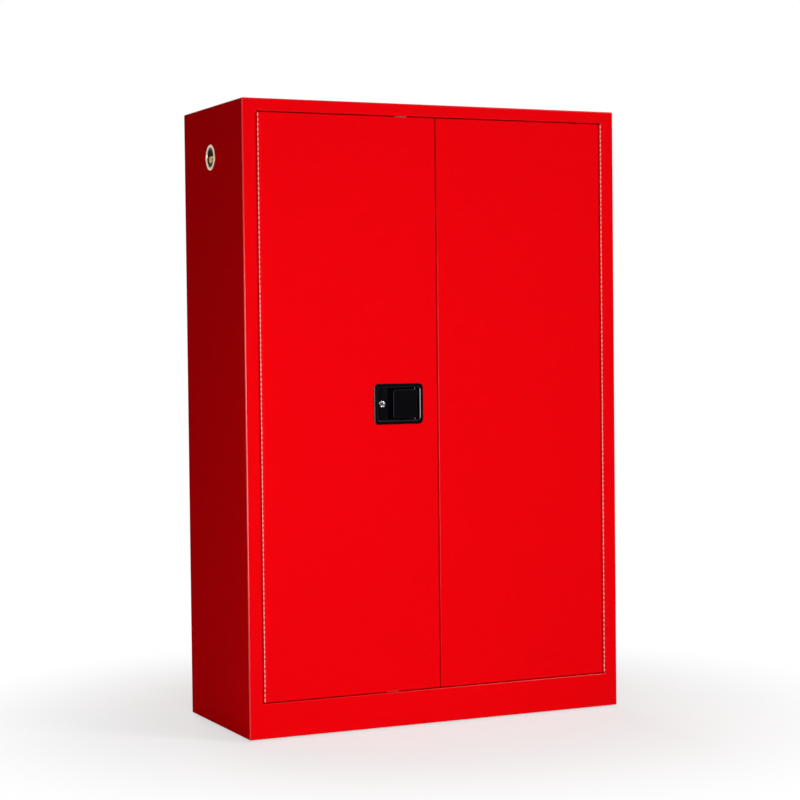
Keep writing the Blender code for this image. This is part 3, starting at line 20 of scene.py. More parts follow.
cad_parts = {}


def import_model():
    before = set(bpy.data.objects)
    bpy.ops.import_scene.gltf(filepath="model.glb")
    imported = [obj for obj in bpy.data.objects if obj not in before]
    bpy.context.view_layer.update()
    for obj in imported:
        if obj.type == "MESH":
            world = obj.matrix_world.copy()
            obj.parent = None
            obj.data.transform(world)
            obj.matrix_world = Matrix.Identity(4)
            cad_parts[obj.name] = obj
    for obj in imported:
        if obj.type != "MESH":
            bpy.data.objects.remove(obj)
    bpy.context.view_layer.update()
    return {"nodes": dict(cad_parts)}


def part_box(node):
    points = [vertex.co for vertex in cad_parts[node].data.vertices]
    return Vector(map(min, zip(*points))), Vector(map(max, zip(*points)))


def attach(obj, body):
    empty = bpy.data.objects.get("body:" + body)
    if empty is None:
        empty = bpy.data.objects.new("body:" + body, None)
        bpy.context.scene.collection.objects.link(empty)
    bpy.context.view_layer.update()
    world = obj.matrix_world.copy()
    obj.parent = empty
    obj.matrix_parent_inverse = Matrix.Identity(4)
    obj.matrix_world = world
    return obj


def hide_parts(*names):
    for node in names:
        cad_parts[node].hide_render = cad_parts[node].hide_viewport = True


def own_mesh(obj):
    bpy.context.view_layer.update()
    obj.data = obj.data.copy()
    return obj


log = logging.getLogger("cabinet")

MERGE = 1e-6
SHARP = math.radians(34)
MOULDED_SHARP = math.radians(40)
HEXAGON_SHARP = math.radians(28)
CORNER_STEPS = 7
CREST_END, ROOT_START, ROOT_END = 0.12, 0.5, 0.6
RIGHTWARDS, BACKWARDS, FORWARDS = Vector((1.0, 0.0, 0.0)), Vector((0.0, 1.0, 0.0)), Vector((0.0, -1.0, 0.0))
COLUMN_WIDTH = 190
SOCKET_OF_SIZE = {1: "NodeSocketFloat", 3: "NodeSocketVector", 4: "NodeSocketColor"}
WHITE = (1.0, 1.0, 1.0, 1.0)
DUST_COLOUR = (0.42, 0.38, 0.34, 1.0)

Point2 = tuple[float, float]
Point3 = tuple[float, float, float]
Colour = tuple[float, float, float]


class Side(Enum):
    """A side of the cabinet, seen from the front, with its sign along X."""

    LEFT = -1
    RIGHT = 1

    @property
    def word(self) -> str:
        """The side's name as the CAD nodes spell it."""
        return self.name.lower()

    @property
    def outwards(self) -> Vector:
        """The direction that points away from the cabinet on this side."""
        return Vector((self.value, 0.0, 0.0))


class Slot(Enum):
    """The record's material slots."""

    RED = "red_powder_coat"
    BLACK = "black_plastic"
    ZINC = "zinc_plate"
    GALVANISED = "galvanised"
    CHROME = "chrome"
    BRASS = "brass"
    SEAL = "grey_seal"
    SPRING = "spring_steel"


class Grain(Enum):
    """The direction in which a metal's fine lines run."""

    ALONG_X = (0.04, 1.0, 1.0)
    ALONG_Y = (1.0, 0.04, 1.0)
    ALONG_Z = (1.0, 1.0, 0.04)
    NONE = (1.0, 1.0, 1.0)


# Mesh tools


def circle(radius: float, sides: int) -> list[Point2]:
    """Points on a circle about the origin, anticlockwise."""
    step = 2 * math.pi / sides
    return [(radius * math.cos(i * step), radius * math.sin(i * step)) for i in range(sides)]


def arc(centre: Point2, radius: float, start: float, end: float, steps: int) -> list[Point2]:
    """Points on an arc.

    Args:
        centre: The arc's centre.
        radius: Its radius.
        start: The first angle, in degrees.
        end: The last angle, in degrees.
        steps: How many straight pieces it is made of.

    Returns:
        One point more than there are steps.
    """
    angles = [math.radians(start + (end - start) * i / steps) for i in range(steps + 1)]
    return [(centre[0] + radius * math.cos(a), centre[1] + radius * math.sin(a)) for a in angles]


def rounded_ring(half_wide: float, half_tall: float, radius: float) -> list[Point2]:
    """A rectangle with round corners, about the origin.

    Args:
        half_wide: Half its width.
        half_tall: Half its height.
        radius: The corners' radius.

    Returns:
        The outline's points, anticlockwise.
    """
    radius = max(radius, MERGE)
    corners = ((1, 1, 0), (-1, 1, 90), (-1, -1, 180), (1, -1, 270))
    points: list[Point2] = []
    for sign_u, sign_v, start in corners:
        middle = (sign_u * (half_wide - radius), sign_v * (half_tall - radius))
        points += arc(middle, radius, start, start + 90, CORNER_STEPS)
    return points


def loft(bm: bmesh.types.BMesh, rings: Sequence[Sequence[Vector]]) -> None:
    """Joins rings of points to a surface with closed ends.

    Args:
        bm: The mesh it is added to.
        rings: The rings, each with as many points as the others.
    """
    rows = [[bm.verts.new(point) for point in ring] for ring in rings]
    for near, far in zip(rows, rows[1:]):
        for i in range(len(near)):
            j = (i + 1) % len(near)
            bm.faces.new((near[i], near[j], far[j], far[i]))
    bm.faces.new(rows[0][::-1])
    bm.faces.new(rows[-1])


def turn(bm: bmesh.types.BMesh, profile: Sequence[Point2], steps: int, place: Matrix,
         closed: bool = False) -> None:
    """Sweeps a profile round an axis.

    Args:
        bm: The mesh it is added to.
        profile: Points of radius and height.
        steps: Straight pieces round the axis.
        place: Lays the axis, which is +Z, where it belongs.
        closed: Whether the last point joins the first one.
    """
    rows = []
    for radius, height in profile:
        around = [(0.0, 0.0)] if radius < MERGE else circle(radius, steps)
        rows.append([bm.verts.new(place @ Vector((u, v, height))) for u, v in around])
    pairs = list(zip(rows, rows[1:])) + ([(rows[-1], rows[0])] if closed else [])
    for near, far in pairs:
        if len(near) == 1 and len(far) == 1:
            continue
        for i in range(steps):
            j = (i + 1) % steps
            first = near if len(near) == 1 else [near[i], near[j]]
            second = far if len(far) == 1 else [far[j], far[i]]
            bm.faces.new(first + second)


def lay(origin: Vector, direction: Vector) -> Matrix:
    """The matrix that lays +Z along a direction, from an origin."""
    turned = Vector((0.0, 0.0, 1.0)).rotation_difference(direction).to_matrix().to_4x4()
    return Matrix.Translation(origin) @ turned


def block(bm: bmesh.types.BMesh, low: Sequence[float], high: Sequence[float], soften: float = 0.0,
          steps: int = 2) -> None:
    """Adds a rectangular block with softened edges.

    Args:
        bm: The mesh it is added to.
        low: Its lowest corner.
        high: Its highest corner.
        soften: The radius of its edges.
        steps: Straight pieces across each edge.
    """
    low, high = Vector(low), Vector(high)
    grown = bmesh.ops.create_cube(bm, size=1.0)["verts"]
    for vert in grown:
        vert.co = Vector([low[k] + (vert.co[k] + 0.5) * (high[k] - low[k]) for k in range(3)])
    if soften:
        edges = list({edge for vert in grown for edge in vert.link_edges})
        bmesh.ops.bevel(bm, geom=edges, offset=soften, segments=steps, profile=0.5, affect="EDGES",
                        clamp_overlap=True)


def thread(radius: float, depth: float, pitch: float, start: float, end: float) -> list[Point2]:
    """The profile of a screw thread, as crests and roots.

    Args:
        radius: The thread's outer radius.
        depth: How deep it is cut.
        pitch: From crest to crest.
        start: The height of its first crest.
        end: Where it ends, above or below the start.

    Returns:
        Points of radius and height.
    """
    way = 1.0 if end > start else -1.0
    count = int(abs(end - start) / pitch)
    points: list[Point2] = []
    for i in range(count):
        height = start + way * i * pitch
        points += [(radius, height), (radius, height + way * pitch * CREST_END)]
        points += [(radius - depth, height + way * pitch * share) for share in (ROOT_START, ROOT_END)]
    return points + [(radius, start + way * count * pitch), (radius, end)]


def dome(radius: float, height: float, seat: float, angles: Sequence[float]) -> list[Point2]:
    """The profile of a domed rivet head.

    Args:
        radius: The head's radius.
        height: How far it stands out.
        seat: How far it is sunk in.
        angles: Where the dome has its points, in radians up from its edge.

    Returns:
        Points of radius and height.
    """
    curve = [(radius * math.cos(a), height * math.sin(a)) for a in angles]
    return [(0.0, -seat), (radius, -seat), *curve, (0.0, height)]


def mirrored(upper: Sequence[Point2]) -> list[Point2]:
    """A profile that is alike above and below height 0, from its upper half."""
    return [(radius, -height) for radius, height in reversed(upper)] + list(upper)


def quarter(*shares: float) -> list[Point2]:
    """How much of a quarter round is done across it and left along it, at shares of its turn."""
    return [(1 - math.cos(share * math.pi / 2), 1 - math.sin(share * math.pi / 2)) for share in shares]


def solid_of(bm: bmesh.types.BMesh, name: str) -> bpy.types.Object:
    """Turns a mesh in the making into an object of the scene."""
    bmesh.ops.remove_doubles(bm, verts=bm.verts, dist=MERGE)
    bmesh.ops.recalc_face_normals(bm, faces=bm.faces)
    mesh = bpy.data.meshes.new(name)
    bm.to_mesh(mesh)
    bm.free()
    obj = bpy.data.objects.new(name, mesh)
    bpy.context.scene.collection.objects.link(obj)
    return obj


def carve(obj: bpy.types.Object, tool: bmesh.types.BMesh, operation: str = "DIFFERENCE") -> None:
    """Cuts a tool out of a new piece, or welds it on.

    Args:
        obj: The piece.
        tool: The tool's mesh.
        operation: DIFFERENCE or UNION.
    """
    helper = solid_of(tool, obj.name + "_tool")
    modifier = obj.modifiers.new("carve", "BOOLEAN")
    modifier.operation = operation
    modifier.solver = "EXACT"
    modifier.object = helper
    bpy.context.view_layer.update()
    carved = bpy.data.meshes.new_from_object(obj.evaluated_get(bpy.context.evaluated_depsgraph_get()))
    obj.modifiers.clear()
    old, obj.data = obj.data, carved
    bpy.data.meshes.remove(old)
    bpy.data.objects.remove(helper, do_unlink=True)


# Shader tools


class Sketch:
    """Places nodes in a tree and joins them."""

    def __init__(self, tree: bpy.types.NodeTree) -> None:
        """Starts on an empty tree."""
        self.tree = tree
        self.column = 0

    def add(self, kind: str, inputs: dict | None = None, **settings: object) -> bpy.types.Node:
        """Adds a node.

        Args:
            kind: The node's type.
            inputs: Values or sockets for its inputs, by name or number.
            settings: Its other settings.

        Returns:
            The node.
        """
        node = self.tree.nodes.new(kind)
        node.location = (self.column * COLUMN_WIDTH, 0)
        self.column += 1
        for name, value in settings.items():
            setattr(node, name, value)
        for name, value in (inputs or {}).items():
            self.feed(node.inputs[name], value)
        return node

    def feed(self, socket: bpy.types.NodeSocket, value: object) -> None:
        """Links a socket to an input, or sets the input's value."""
        if isinstance(value, bpy.types.NodeSocket):
            self.tree.links.new(value, socket)
        else:
            socket.default_value = value

    def use(self, group: bpy.types.NodeTree, inputs: dict | None = None) -> bpy.types.bpy_prop_collection:
        """Places a node group with its own values and gives its outputs."""
        return self.add("ShaderNodeGroup", inputs, node_tree=group).outputs

    def place(self) -> bpy.types.NodeSocket:
        """The point's place on the object."""
        return self.add("ShaderNodeTexCoord").outputs["Object"]

    def normal(self) -> bpy.types.NodeSocket:
        """The surface's direction on the object."""
        return self.add("ShaderNodeTexCoord").outputs["Normal"]

    def calc(self, operation: str, *values: object, clamp: bool = False) -> bpy.types.NodeSocket:
        """Adds a Math node and gives its result."""
        node = self.add("ShaderNodeMath", dict(enumerate(values)), operation=operation, use_clamp=clamp)
        return node.outputs[0]

    def vary(self, middle: object, noise: object, amount: object, clamp: bool = False) -> bpy.types.NodeSocket:
        """Moves a value up and down by an amount, as a noise from 0 to 1 says."""
        shift = self.calc("MULTIPLY", self.calc("SUBTRACT", noise, 0.5), amount)
        return self.calc("ADD", middle, self.calc("MULTIPLY", shift, 2.0), clamp=clamp)

    def blend(self, share: object, first: object, second: object, way: str = "MIX") -> bpy.types.NodeSocket:
        """Mixes two colours and gives the result."""
        node = self.add("ShaderNodeMix", data_type="RGBA", blend_type=way)
        for name, value in (("Factor_Float", share), ("A_Color", first), ("B_Color", second)):
            self.feed(next(s for s in node.inputs if s.identifier == name), value)
        return next(s for s in node.outputs if s.identifier == "Result_Color")

    def spread(self, value: object, low: object, high: object, to_low: object = 0.0,
               to_high: object = 1.0) -> bpy.types.NodeSocket:
        """Maps a value from one range to another and gives the result."""
        node = self.add("ShaderNodeMapRange", {0: value, 1: low, 2: high, 3: to_low, 4: to_high}, clamp=True)
        return node.outputs[0]

    def noise(self, place: object, scale: object, detail: float = 2.0,
              roughness: float = 0.5) -> bpy.types.NodeSocket:
        """Adds a Noise texture and gives its value."""
        values = {"Vector": place, "Scale": scale, "Detail": detail, "Roughness": roughness}
        return self.add("ShaderNodeTexNoise", values).outputs[0]

    def seen(self) -> bpy.types.NodeSocket:
        """1 for what is seen straight, in a reflection or through glass, 0 for what only lights."""
        rays = self.add("ShaderNodeLightPath").outputs
        direct = self.calc("MAXIMUM", rays["Is Camera Ray"], rays["Is Glossy Ray"])
        return self.calc("MAXIMUM", direct, rays["Is Transmission Ray"])


class Effects:
    """The shader effects that the finishes share, each a node group that is built once."""

    @staticmethod
    def group(name: str, takes: dict[str, object], *gives: str,
              kind: str = "NodeSocketFloat") -> tuple[Sketch, dict, Callable]:
        """Starts a node group.

        Args:
            name: The group's name.
            takes: Its inputs and their first values: a number, a vector or a colour with alpha.
            gives: Its outputs.
            kind: The outputs' socket type.

        Returns:
            The sketch, the inputs' sockets by name, and a function that feeds an output.
        """
        tree = bpy.data.node_groups.new(name, "ShaderNodeTree")
        for label, value in takes.items():
            size = len(value) if isinstance(value, tuple) else 1
            socket = tree.interface.new_socket(label, in_out="INPUT", socket_type=SOCKET_OF_SIZE[size])
            socket.default_value = value
        for label in gives:
            tree.interface.new_socket(label, in_out="OUTPUT", socket_type=kind)
        sketch = Sketch(tree)
        entry, leave = sketch.add("NodeGroupInput"), sketch.add("NodeGroupOutput")
        sockets = {label: entry.outputs[label] for label in takes}
        return sketch, sockets, lambda label, value: sketch.feed(leave.inputs[label], value)

    @cached_property
    def drift(self) -> bpy.types.NodeTree:
        """A colour that drifts a little in tone over the surface."""
        sketch, takes, give = self.group(
            "tone_drift", {"Colour": WHITE, "Amount": 0.03, "Size": 3.0}, "Colour", kind="NodeSocketColor")
        broad = sketch.noise(sketch.place(), takes["Size"], detail=3.0, roughness=0.55)
        level = sketch.vary(1.0, broad, takes["Amount"])
        shade = sketch.add("ShaderNodeCombineColor", {0: level, 1: level, 2: level}).outputs[0]
        give("Colour", sketch.blend(1.0, takes["Colour"], shade, "MULTIPLY"))
        return sketch.tree

    @cached_property
    def orange_peel(self) -> bpy.types.NodeTree:
        """A soft ripple with a finer grain on it, as a height."""
        sketch, takes, give = self.group(
            "orange_peel", {"Ripple": 420.0, "Grain": 1900.0, "Grain share": 0.3}, "Height")
        place = sketch.place()
        ripple = sketch.noise(place, takes["Ripple"], detail=1.0)
        grain = sketch.noise(place, takes["Grain"], detail=0.0)
        give("Height", sketch.calc("ADD", ripple, sketch.calc("MULTIPLY", grain, takes["Grain share"])))
        return sketch.tree

    @cached_property
    def bend_mask(self) -> bpy.types.NodeTree:
        """1 where the sheet is folded or rounded, 0 on its flat faces; also for upright bends alone."""
        sketch, takes, give = self.group("bend_mask", {"Start": 0.004, "Full": 0.05}, "Mask", "Upright")
        parts = sketch.add("ShaderNodeSeparateXYZ", {0: sketch.normal()})
        sizes = [sketch.calc("ABSOLUTE", part) for part in parts.outputs]
        flat = sketch.calc("MAXIMUM", sketch.calc("MAXIMUM", sizes[0], sizes[1]), sizes[2])
        bent = sketch.spread(sketch.calc("SUBTRACT", 1.0, flat), takes["Start"], takes["Full"])
        give("Mask", bent)
        give("Upright", sketch.calc("MULTIPLY", bent, sketch.spread(sizes[2], 0.1, 0.45, 1.0, 0.0)))
        return sketch.tree

    @cached_property
    def facing(self) -> bpy.types.NodeTree:
        """1 where the surface faces a direction, 0 where it turns away from it."""
        sketch, takes, give = self.group(
            "facing", {"Direction": (0.0, -1.0, 0.0), "Start": 0.9, "Full": 0.98}, "Mask")
        aligned = sketch.add("ShaderNodeVectorMath", {0: sketch.normal(), 1: takes["Direction"]},
                             operation="DOT_PRODUCT")
        give("Mask", sketch.spread(aligned.outputs["Value"], takes["Start"], takes["Full"]))
        return sketch.tree

    @cached_property
    def handling(self) -> bpy.types.NodeTree:
        """A roughness that changes with wiping and handling."""
        sketch, takes, give = self.group(
            "handling", {"Roughness": 0.4, "Spread": 0.06, "Size": 9.0}, "Roughness")
        smear = sketch.noise(sketch.place(), takes["Size"], detail=4.0, roughness=0.62)
        give("Roughness", sketch.vary(takes["Roughness"], smear, takes["Spread"], clamp=True))
        return sketch.tree

    @cached_property
    def fine_lines(self) -> bpy.types.NodeTree:
        """Fine drawn or ground lines along one direction, as a height and a mask."""
        sketch, takes, give = self.group(
            "fine_lines", {"Stretch": (1.0, 1.0, 1.0), "Lines": 2600.0}, "Height", "Mask")
        pulled = sketch.add("ShaderNodeVectorMath", {0: sketch.place(), 1: takes["Stretch"]},
                            operation="MULTIPLY").outputs[0]
        lines = sketch.noise(pulled, takes["Lines"], detail=3.0, roughness=0.7)
        give("Height", lines)
        give("Mask", sketch.spread(lines, 0.35, 0.65))
        return sketch.tree

    @cached_property
    def spangle(self) -> bpy.types.NodeTree:
        """The crystals of hot-dip zinc, as one tone for each crystal and a frost inside it."""
        sketch, takes, give = self.group("spangle", {"Crystals": 95.0}, "Tone")
        place = sketch.place()
        warp = sketch.add("ShaderNodeTexNoise", {"Vector": place, "Scale": 240.0, "Detail": 2.0})
        small = sketch.add("ShaderNodeVectorMath", {0: warp.outputs["Color"], "Scale": 0.006}, operation="SCALE")
        bent = sketch.add("ShaderNodeVectorMath", {0: place, 1: small.outputs[0]}, operation="ADD").outputs[0]
        cells = sketch.add("ShaderNodeTexVoronoi", {"Vector": bent, "Scale": takes["Crystals"]}, feature="F1")
        tone = sketch.add("ShaderNodeSeparateColor", {0: cells.outputs["Color"]}).outputs[0]
        frost = sketch.noise(place, 900.0, roughness=0.6)
        give("Tone", sketch.calc("ADD", sketch.calc("MULTIPLY", tone, 0.75), sketch.calc("MULTIPLY", frost, 0.25)))
        return sketch.tree

    @cached_property
    def dust(self) -> bpy.types.NodeTree:
        """A thin film of dust on what faces up."""
        sketch, takes, give = self.group("settled_dust", {"Amount": 0.1}, "Mask")
        up = sketch.add("ShaderNodeSeparateXYZ", {0: sketch.normal()}).outputs[2]
        upwards = sketch.spread(up, 0.55, 0.95)
        film = sketch.noise(sketch.place(), 14.0, detail=5.0, roughness=0.65)
        patches = sketch.calc("MULTIPLY", upwards, sketch.spread(film, 0.35, 0.75, 0.25, 1.0))
        give("Mask", sketch.calc("MULTIPLY", patches, takes["Amount"], clamp=True))
        return sketch.tree


def opaque(colour: Colour) -> tuple[float, float, float, float]:
    """A colour with its alpha."""
    return (*colour, 1.0)


class Recipe:
    """A material in the making: a Principled shader that the shared effects feed."""

    def __init__(self, name: str, effects: Effects) -> None:
        """Starts the material."""
        self.effects = effects
        self.material = bpy.data.materials.new(name)
        self.material.use_nodes = True
        self.sketch = Sketch(self.material.node_tree)
        self.shader = self.material.node_tree.nodes["Principled BSDF"]
        self.output = self.material.node_tree.nodes["Material Output"]
        self.shader.location, self.output.location = (2600, 0), (2900, 0)

    def feed(self, inputs: dict[str, object]) -> None:
        """Feeds the shader's inputs, each with a socket or a value."""
        for name, value in inputs.items():
            self.sketch.feed(self.shader.inputs[name], value)

    def toned(self, colour: Colour, amount: float, size: float) -> bpy.types.NodeSocket:
        """A colour that drifts in tone."""
        inputs = {"Colour": opaque(colour), "Amount": amount, "Size": size}
        return self.sketch.use(self.effects.drift, inputs)["Colour"]

    def dusted(self, colour: object, amount: float) -> tuple[bpy.types.NodeSocket, bpy.types.NodeSocket]:
        """A colour under a film of dust, and the film's mask."""
        mask = self.sketch.use(self.effects.dust, {"Amount": amount})["Mask"]
        return self.sketch.blend(mask, colour, DUST_COLOUR), mask

    def wiped(self, roughness: float, spread: float, size: float) -> None:
        """Gives the shader a roughness that changes with wiping and handling."""
        inputs = {"Roughness": roughness, "Spread": spread, "Size": size}
        self.feed({"Roughness": self.sketch.use(self.effects.handling, inputs)["Roughness"]})

    def relief(self, height: object, depth: float) -> None:
        """Gives the shader a bump of a real depth."""
        bump = self.sketch.add("ShaderNodeBump", {"Strength": 1.0, "Distance": depth, "Height": height})
        self.feed({"Normal": bump.outputs[0]})

    def peel(self, depth: float, inputs: dict[str, float] | None = None) -> None:
        """Gives the shader the ripple and the grain of a coat or a mould."""
        self.relief(self.sketch.use(self.effects.orange_peel, inputs)["Height"], depth)


@dataclass(frozen=True)
class PowderCoat:
    """Baked powder coat on sheet steel: saturated, with a soft ripple, shinier bends, and where asked a painted
    highlight on what faces one direction.
    """

    name: str
    colour: Colour = (0.84, 0.0012, 0.0040)
    roughness: float = 0.36
    specular: float = 0.0
    bend_gloss: float = 1.0
    coat_roughness: float = 0.22
    coat_ior: float = 1.9
    ripple_depth: float = 0.00003
    dust: float = 0.05
    # Painted highlight: how strongly the pale highlight colour is laid on what faces the highlight direction, in place
    # of a lamp's gleam on round knuckles.
    crown_highlight: float = 0.0
    highlight_colour: Colour = (1.0, 0.72, 0.66)
    highlight_direction: Point3 = (-0.31, -0.95, 0.0)

    def material(self, effects: Effects) -> bpy.types.Material:
        """Makes the finish's material."""
        recipe = Recipe(self.name, effects)
        sketch = recipe.sketch
        colour, _ = recipe.dusted(recipe.toned(self.colour, amount=0.03, size=1.6), self.dust)
        # Painted highlight: a pale band on the side that faces the highlight direction.
        if self.crown_highlight:
            crown = sketch.use(effects.facing, {"Direction": self.highlight_direction, "Start": 0.95, "Full": 0.994})
            colour = sketch.blend(sketch.calc("MULTIPLY", crown["Mask"], self.crown_highlight), colour,
                                  opaque(self.highlight_colour))
        recipe.wiped(self.roughness, spread=0.07, size=6.0)
        recipe.peel(self.ripple_depth)
        upright = sketch.use(effects.bend_mask)["Upright"]
        recipe.feed({"Base Color": colour, "Coat Weight": sketch.calc("MULTIPLY", upright, self.bend_gloss),
                     "Coat Roughness": self.coat_roughness, "Coat IOR": self.coat_ior,
                     "Specular IOR Level": self.specular})
        return recipe.material


@dataclass(frozen=True)
class MouldedPlastic:
    """Black moulded plastic with the fine spark texture of its mould."""

    name: str
    colour: Colour = (0.0016, 0.0016, 0.0026)
    roughness: float = 0.38
    specular: float = 0.02
    dust: float = 0.05
    spark_depth: float = 0.00003
    wall_direction: Point3 = (-0.75, -0.66, 0.0)
    wall_gloss: float = 1.0
    edge_gloss: float = 0.08
    coat_ior: float = 1.8
    coat_roughness: float = 0.20

    def material(self, effects: Effects) -> bpy.types.Material:
        """Makes the finish's material."""
        recipe = Recipe(self.name, effects)
        sketch = recipe.sketch
        colour, _ = recipe.dusted(recipe.toned(self.colour, amount=0.12, size=40.0), self.dust)
        recipe.wiped(self.roughness, spread=0.09, size=60.0)
        recipe.peel(self.spark_depth, {"Ripple": 2600.0, "Grain": 6200.0, "Grain share": 0.6})
        wall = sketch.use(effects.facing, {"Direction": self.wall_direction, "Start": 0.80, "Full": 0.95})
        gloss = sketch.calc("ADD", sketch.calc("MULTIPLY", wall["Mask"], self.wall_gloss),
                            sketch.calc("MULTIPLY", sketch.use(effects.bend_mask)["Mask"], self.edge_gloss),
                            clamp=True)
        recipe.feed({"Base Color": colour, "Coat Weight": gloss, "Coat Roughness": self.coat_roughness,
                     "Coat IOR": self.coat_ior, "Specular IOR Level": self.specular})
        return recipe.material


@dataclass(frozen=True)
class PlatedSteel:
    """Plated or drawn metal with fine lines in it, and where asked dark patches of painted reflection."""

    name: str
    colour: Colour = (0.62, 0.64, 0.66)
    roughness: float = 0.34
    grain: Grain = Grain.ALONG_Z
    lines: float = 2600.0
    depth: float = 0.000008
    dust: float = 0.06
    # Painted reflection: the share of dark patches in the colour, standing in for dark surroundings mirrored in the
    # metal.
    painted_dark_reflection: float = 0.0
    dark_reflection_colour: Colour = (0.012, 0.012, 0.015)
    line_tone: float = 0.84
    line_share: float = 0.35

    def material(self, effects: Effects) -> bpy.types.Material:
        """Makes the finish's material."""
        recipe = Recipe(self.name, effects)
        sketch = recipe.sketch
        lines = sketch.use(effects.fine_lines, {"Stretch": self.grain.value, "Lines": self.lines})
        darker = opaque(tuple(self.line_tone * c for c in self.colour))
        share = sketch.calc("MULTIPLY", lines["Mask"], self.line_share)
        colour = sketch.blend(share, recipe.toned(self.colour, amount=0.07, size=34.0), darker)
        # Painted reflection: dark patches laid in the colour, so that the bright patches between them read as glints.
        if self.painted_dark_reflection:
            patches = sketch.noise(sketch.place(), 330.0, detail=1.0)
            share = sketch.spread(patches, 0.50, 0.58, self.painted_dark_reflection, 0.0)
            colour = sketch.blend(share, colour, opaque(self.dark_reflection_colour))
        colour, dust = recipe.dusted(colour, self.dust)
        recipe.wiped(self.roughness, spread=0.08, size=45.0)
        recipe.relief(lines["Height"], self.depth)
        recipe.feed({"Base Color": colour, "Metallic": sketch.calc("SUBTRACT", 1.0, dust, clamp=True)})
        return recipe.material


@dataclass(frozen=True)
class Galvanised:
    """Hot-dip galvanised sheet with its spangle."""

    name: str
    light: Colour = (0.64, 0.66, 0.68)
    dark: Colour = (0.44, 0.46, 0.49)
    crystals: float = 95.0
    dust: float = 0.09
    metal: float = 0.95
    depth: float = 0.000012

    def material(self, effects: Effects) -> bpy.types.Material:
        """Makes the finish's material."""
        recipe = Recipe(self.name, effects)
        sketch = recipe.sketch
        tone = sketch.use(effects.spangle, {"Crystals": self.crystals})["Tone"]
        colour, dust = recipe.dusted(sketch.blend(tone, opaque(self.dark), opaque(self.light)), self.dust)
        recipe.peel(self.depth, {"Ripple": 700.0, "Grain": 2400.0, "Grain share": 0.4})
        recipe.feed({"Base Color": colour, "Roughness": sketch.spread(tone, 0.0, 1.0, 0.52, 0.34),
                     "Metallic": sketch.calc("SUBTRACT", self.metal, dust, clamp=True)})
        return recipe.material


@dataclass(frozen=True)
class SealStrip:
    """A matt strip that swells in a fire: grey, with flecks of graphite."""

    name: str
    colour: Colour = (0.050, 0.050, 0.053)
    fleck_colour: Colour = (0.17, 0.17, 0.18)
    flecks: float = 1300.0
    roughness: float = 0.82
    depth: float = 0.00005

    def material(self, effects: Effects) -> bpy.types.Material:
        """Makes the finish's material."""
        recipe = Recipe(self.name, effects)
        sketch = recipe.sketch
        flecks = sketch.use(effects.spangle, {"Crystals": self.flecks})["Tone"]
        tone = recipe.toned(self.colour, amount=0.15, size=70.0)
        bright = sketch.spread(flecks, 0.74, 0.84, 0.0, 0.5)
        recipe.wiped(self.roughness, spread=0.06, size=90.0)
        recipe.peel(self.depth, {"Ripple": 1400.0, "Grain": 4200.0, "Grain share": 0.8})
        recipe.feed({"Base Color": sketch.blend(bright, tone, opaque(self.fleck_colour))})
        return recipe.material


@dataclass
class Wardrobe:
    """All the finishes, each made into a material the first time that an object wears it."""

    effects: Effects = field(default_factory=Effects)
    made: dict[str, bpy.types.Material] = field(default_factory=dict)
    coat: PowderCoat = PowderCoat("red_powder_coat_on_sheet", bend_gloss=0.45)
    door_coat: PowderCoat = PowderCoat("red_powder_coat_on_doors", bend_gloss=0.06)
    # The hinge's coat has a painted highlight: a pale pink band on the front-facing side of each knuckle.
    hinge_coat: PowderCoat = PowderCoat(
        "red_powder_coat_on_hinge", roughness=0.30, bend_gloss=0.25, coat_roughness=0.16, crown_highlight=0.9)
    plastic: MouldedPlastic = MouldedPlastic("black_moulded_plastic")
    paddle_plastic: MouldedPlastic = MouldedPlastic("black_handled_plastic", wall_gloss=0.08)
    zinc: PlatedSteel = PlatedSteel("zinc_plated_steel")
    zinc_flat: PlatedSteel = PlatedSteel("zinc_plated_sheet", grain=Grain.ALONG_X)
    # Chrome with painted reflections: dark patches in its colour and bright glints between them.
    chrome: PlatedSteel = PlatedSteel(
        "worn_chrome", (0.82, 0.82, 0.83), 0.10, Grain.NONE, lines=900.0, depth=0.000001, dust=0.0, painted_dark_reflection=1.0)
    # Painted shade: the plated pin is coloured near black so that it stays as dark as the handle's recess round it.
    shade_painted_pin: PlatedSteel = PlatedSteel("blackened_pin", (0.05, 0.05, 0.055), 0.36)
    pale_brass: PlatedSteel = PlatedSteel(
        "pale_turned_brass", (0.64, 0.51, 0.38), 0.30, Grain.ALONG_X, lines=1800.0, depth=0.000004, dust=0.02)
    brass: PlatedSteel = PlatedSteel(
        "cast_brass", (0.46, 0.30, 0.13), 0.34, Grain.NONE, lines=1500.0, depth=0.000012, dust=0.03)
    # Painted shade: the bung's brass is coloured almost black so that its recessed bowl reads dark.
    shade_painted_brass: PlatedSteel = PlatedSteel(
        "blackened_brass", (0.022, 0.013, 0.007), 0.42, Grain.NONE, lines=1500.0, depth=0.000012, dust=0.01)
    spring: PlatedSteel = PlatedSteel(
        "oiled_spring_steel", (0.30, 0.30, 0.32), 0.28, Grain.NONE, lines=2400.0, depth=0.000004, dust=0.0)
    galvanised: Galvanised = Galvanised("spangled_galvanised_sheet")
    seal: SealStrip = SealStrip("swelling_seal_strip")

    def wear(self, obj: bpy.types.Object, finish: object) -> None:
        """Puts a finish on an object, in place of what it wears."""
        if finish.name not in self.made:
            self.made[finish.name] = finish.material(self.effects)
        obj.data.materials.clear()
        obj.data.materials.append(self.made[finish.name])


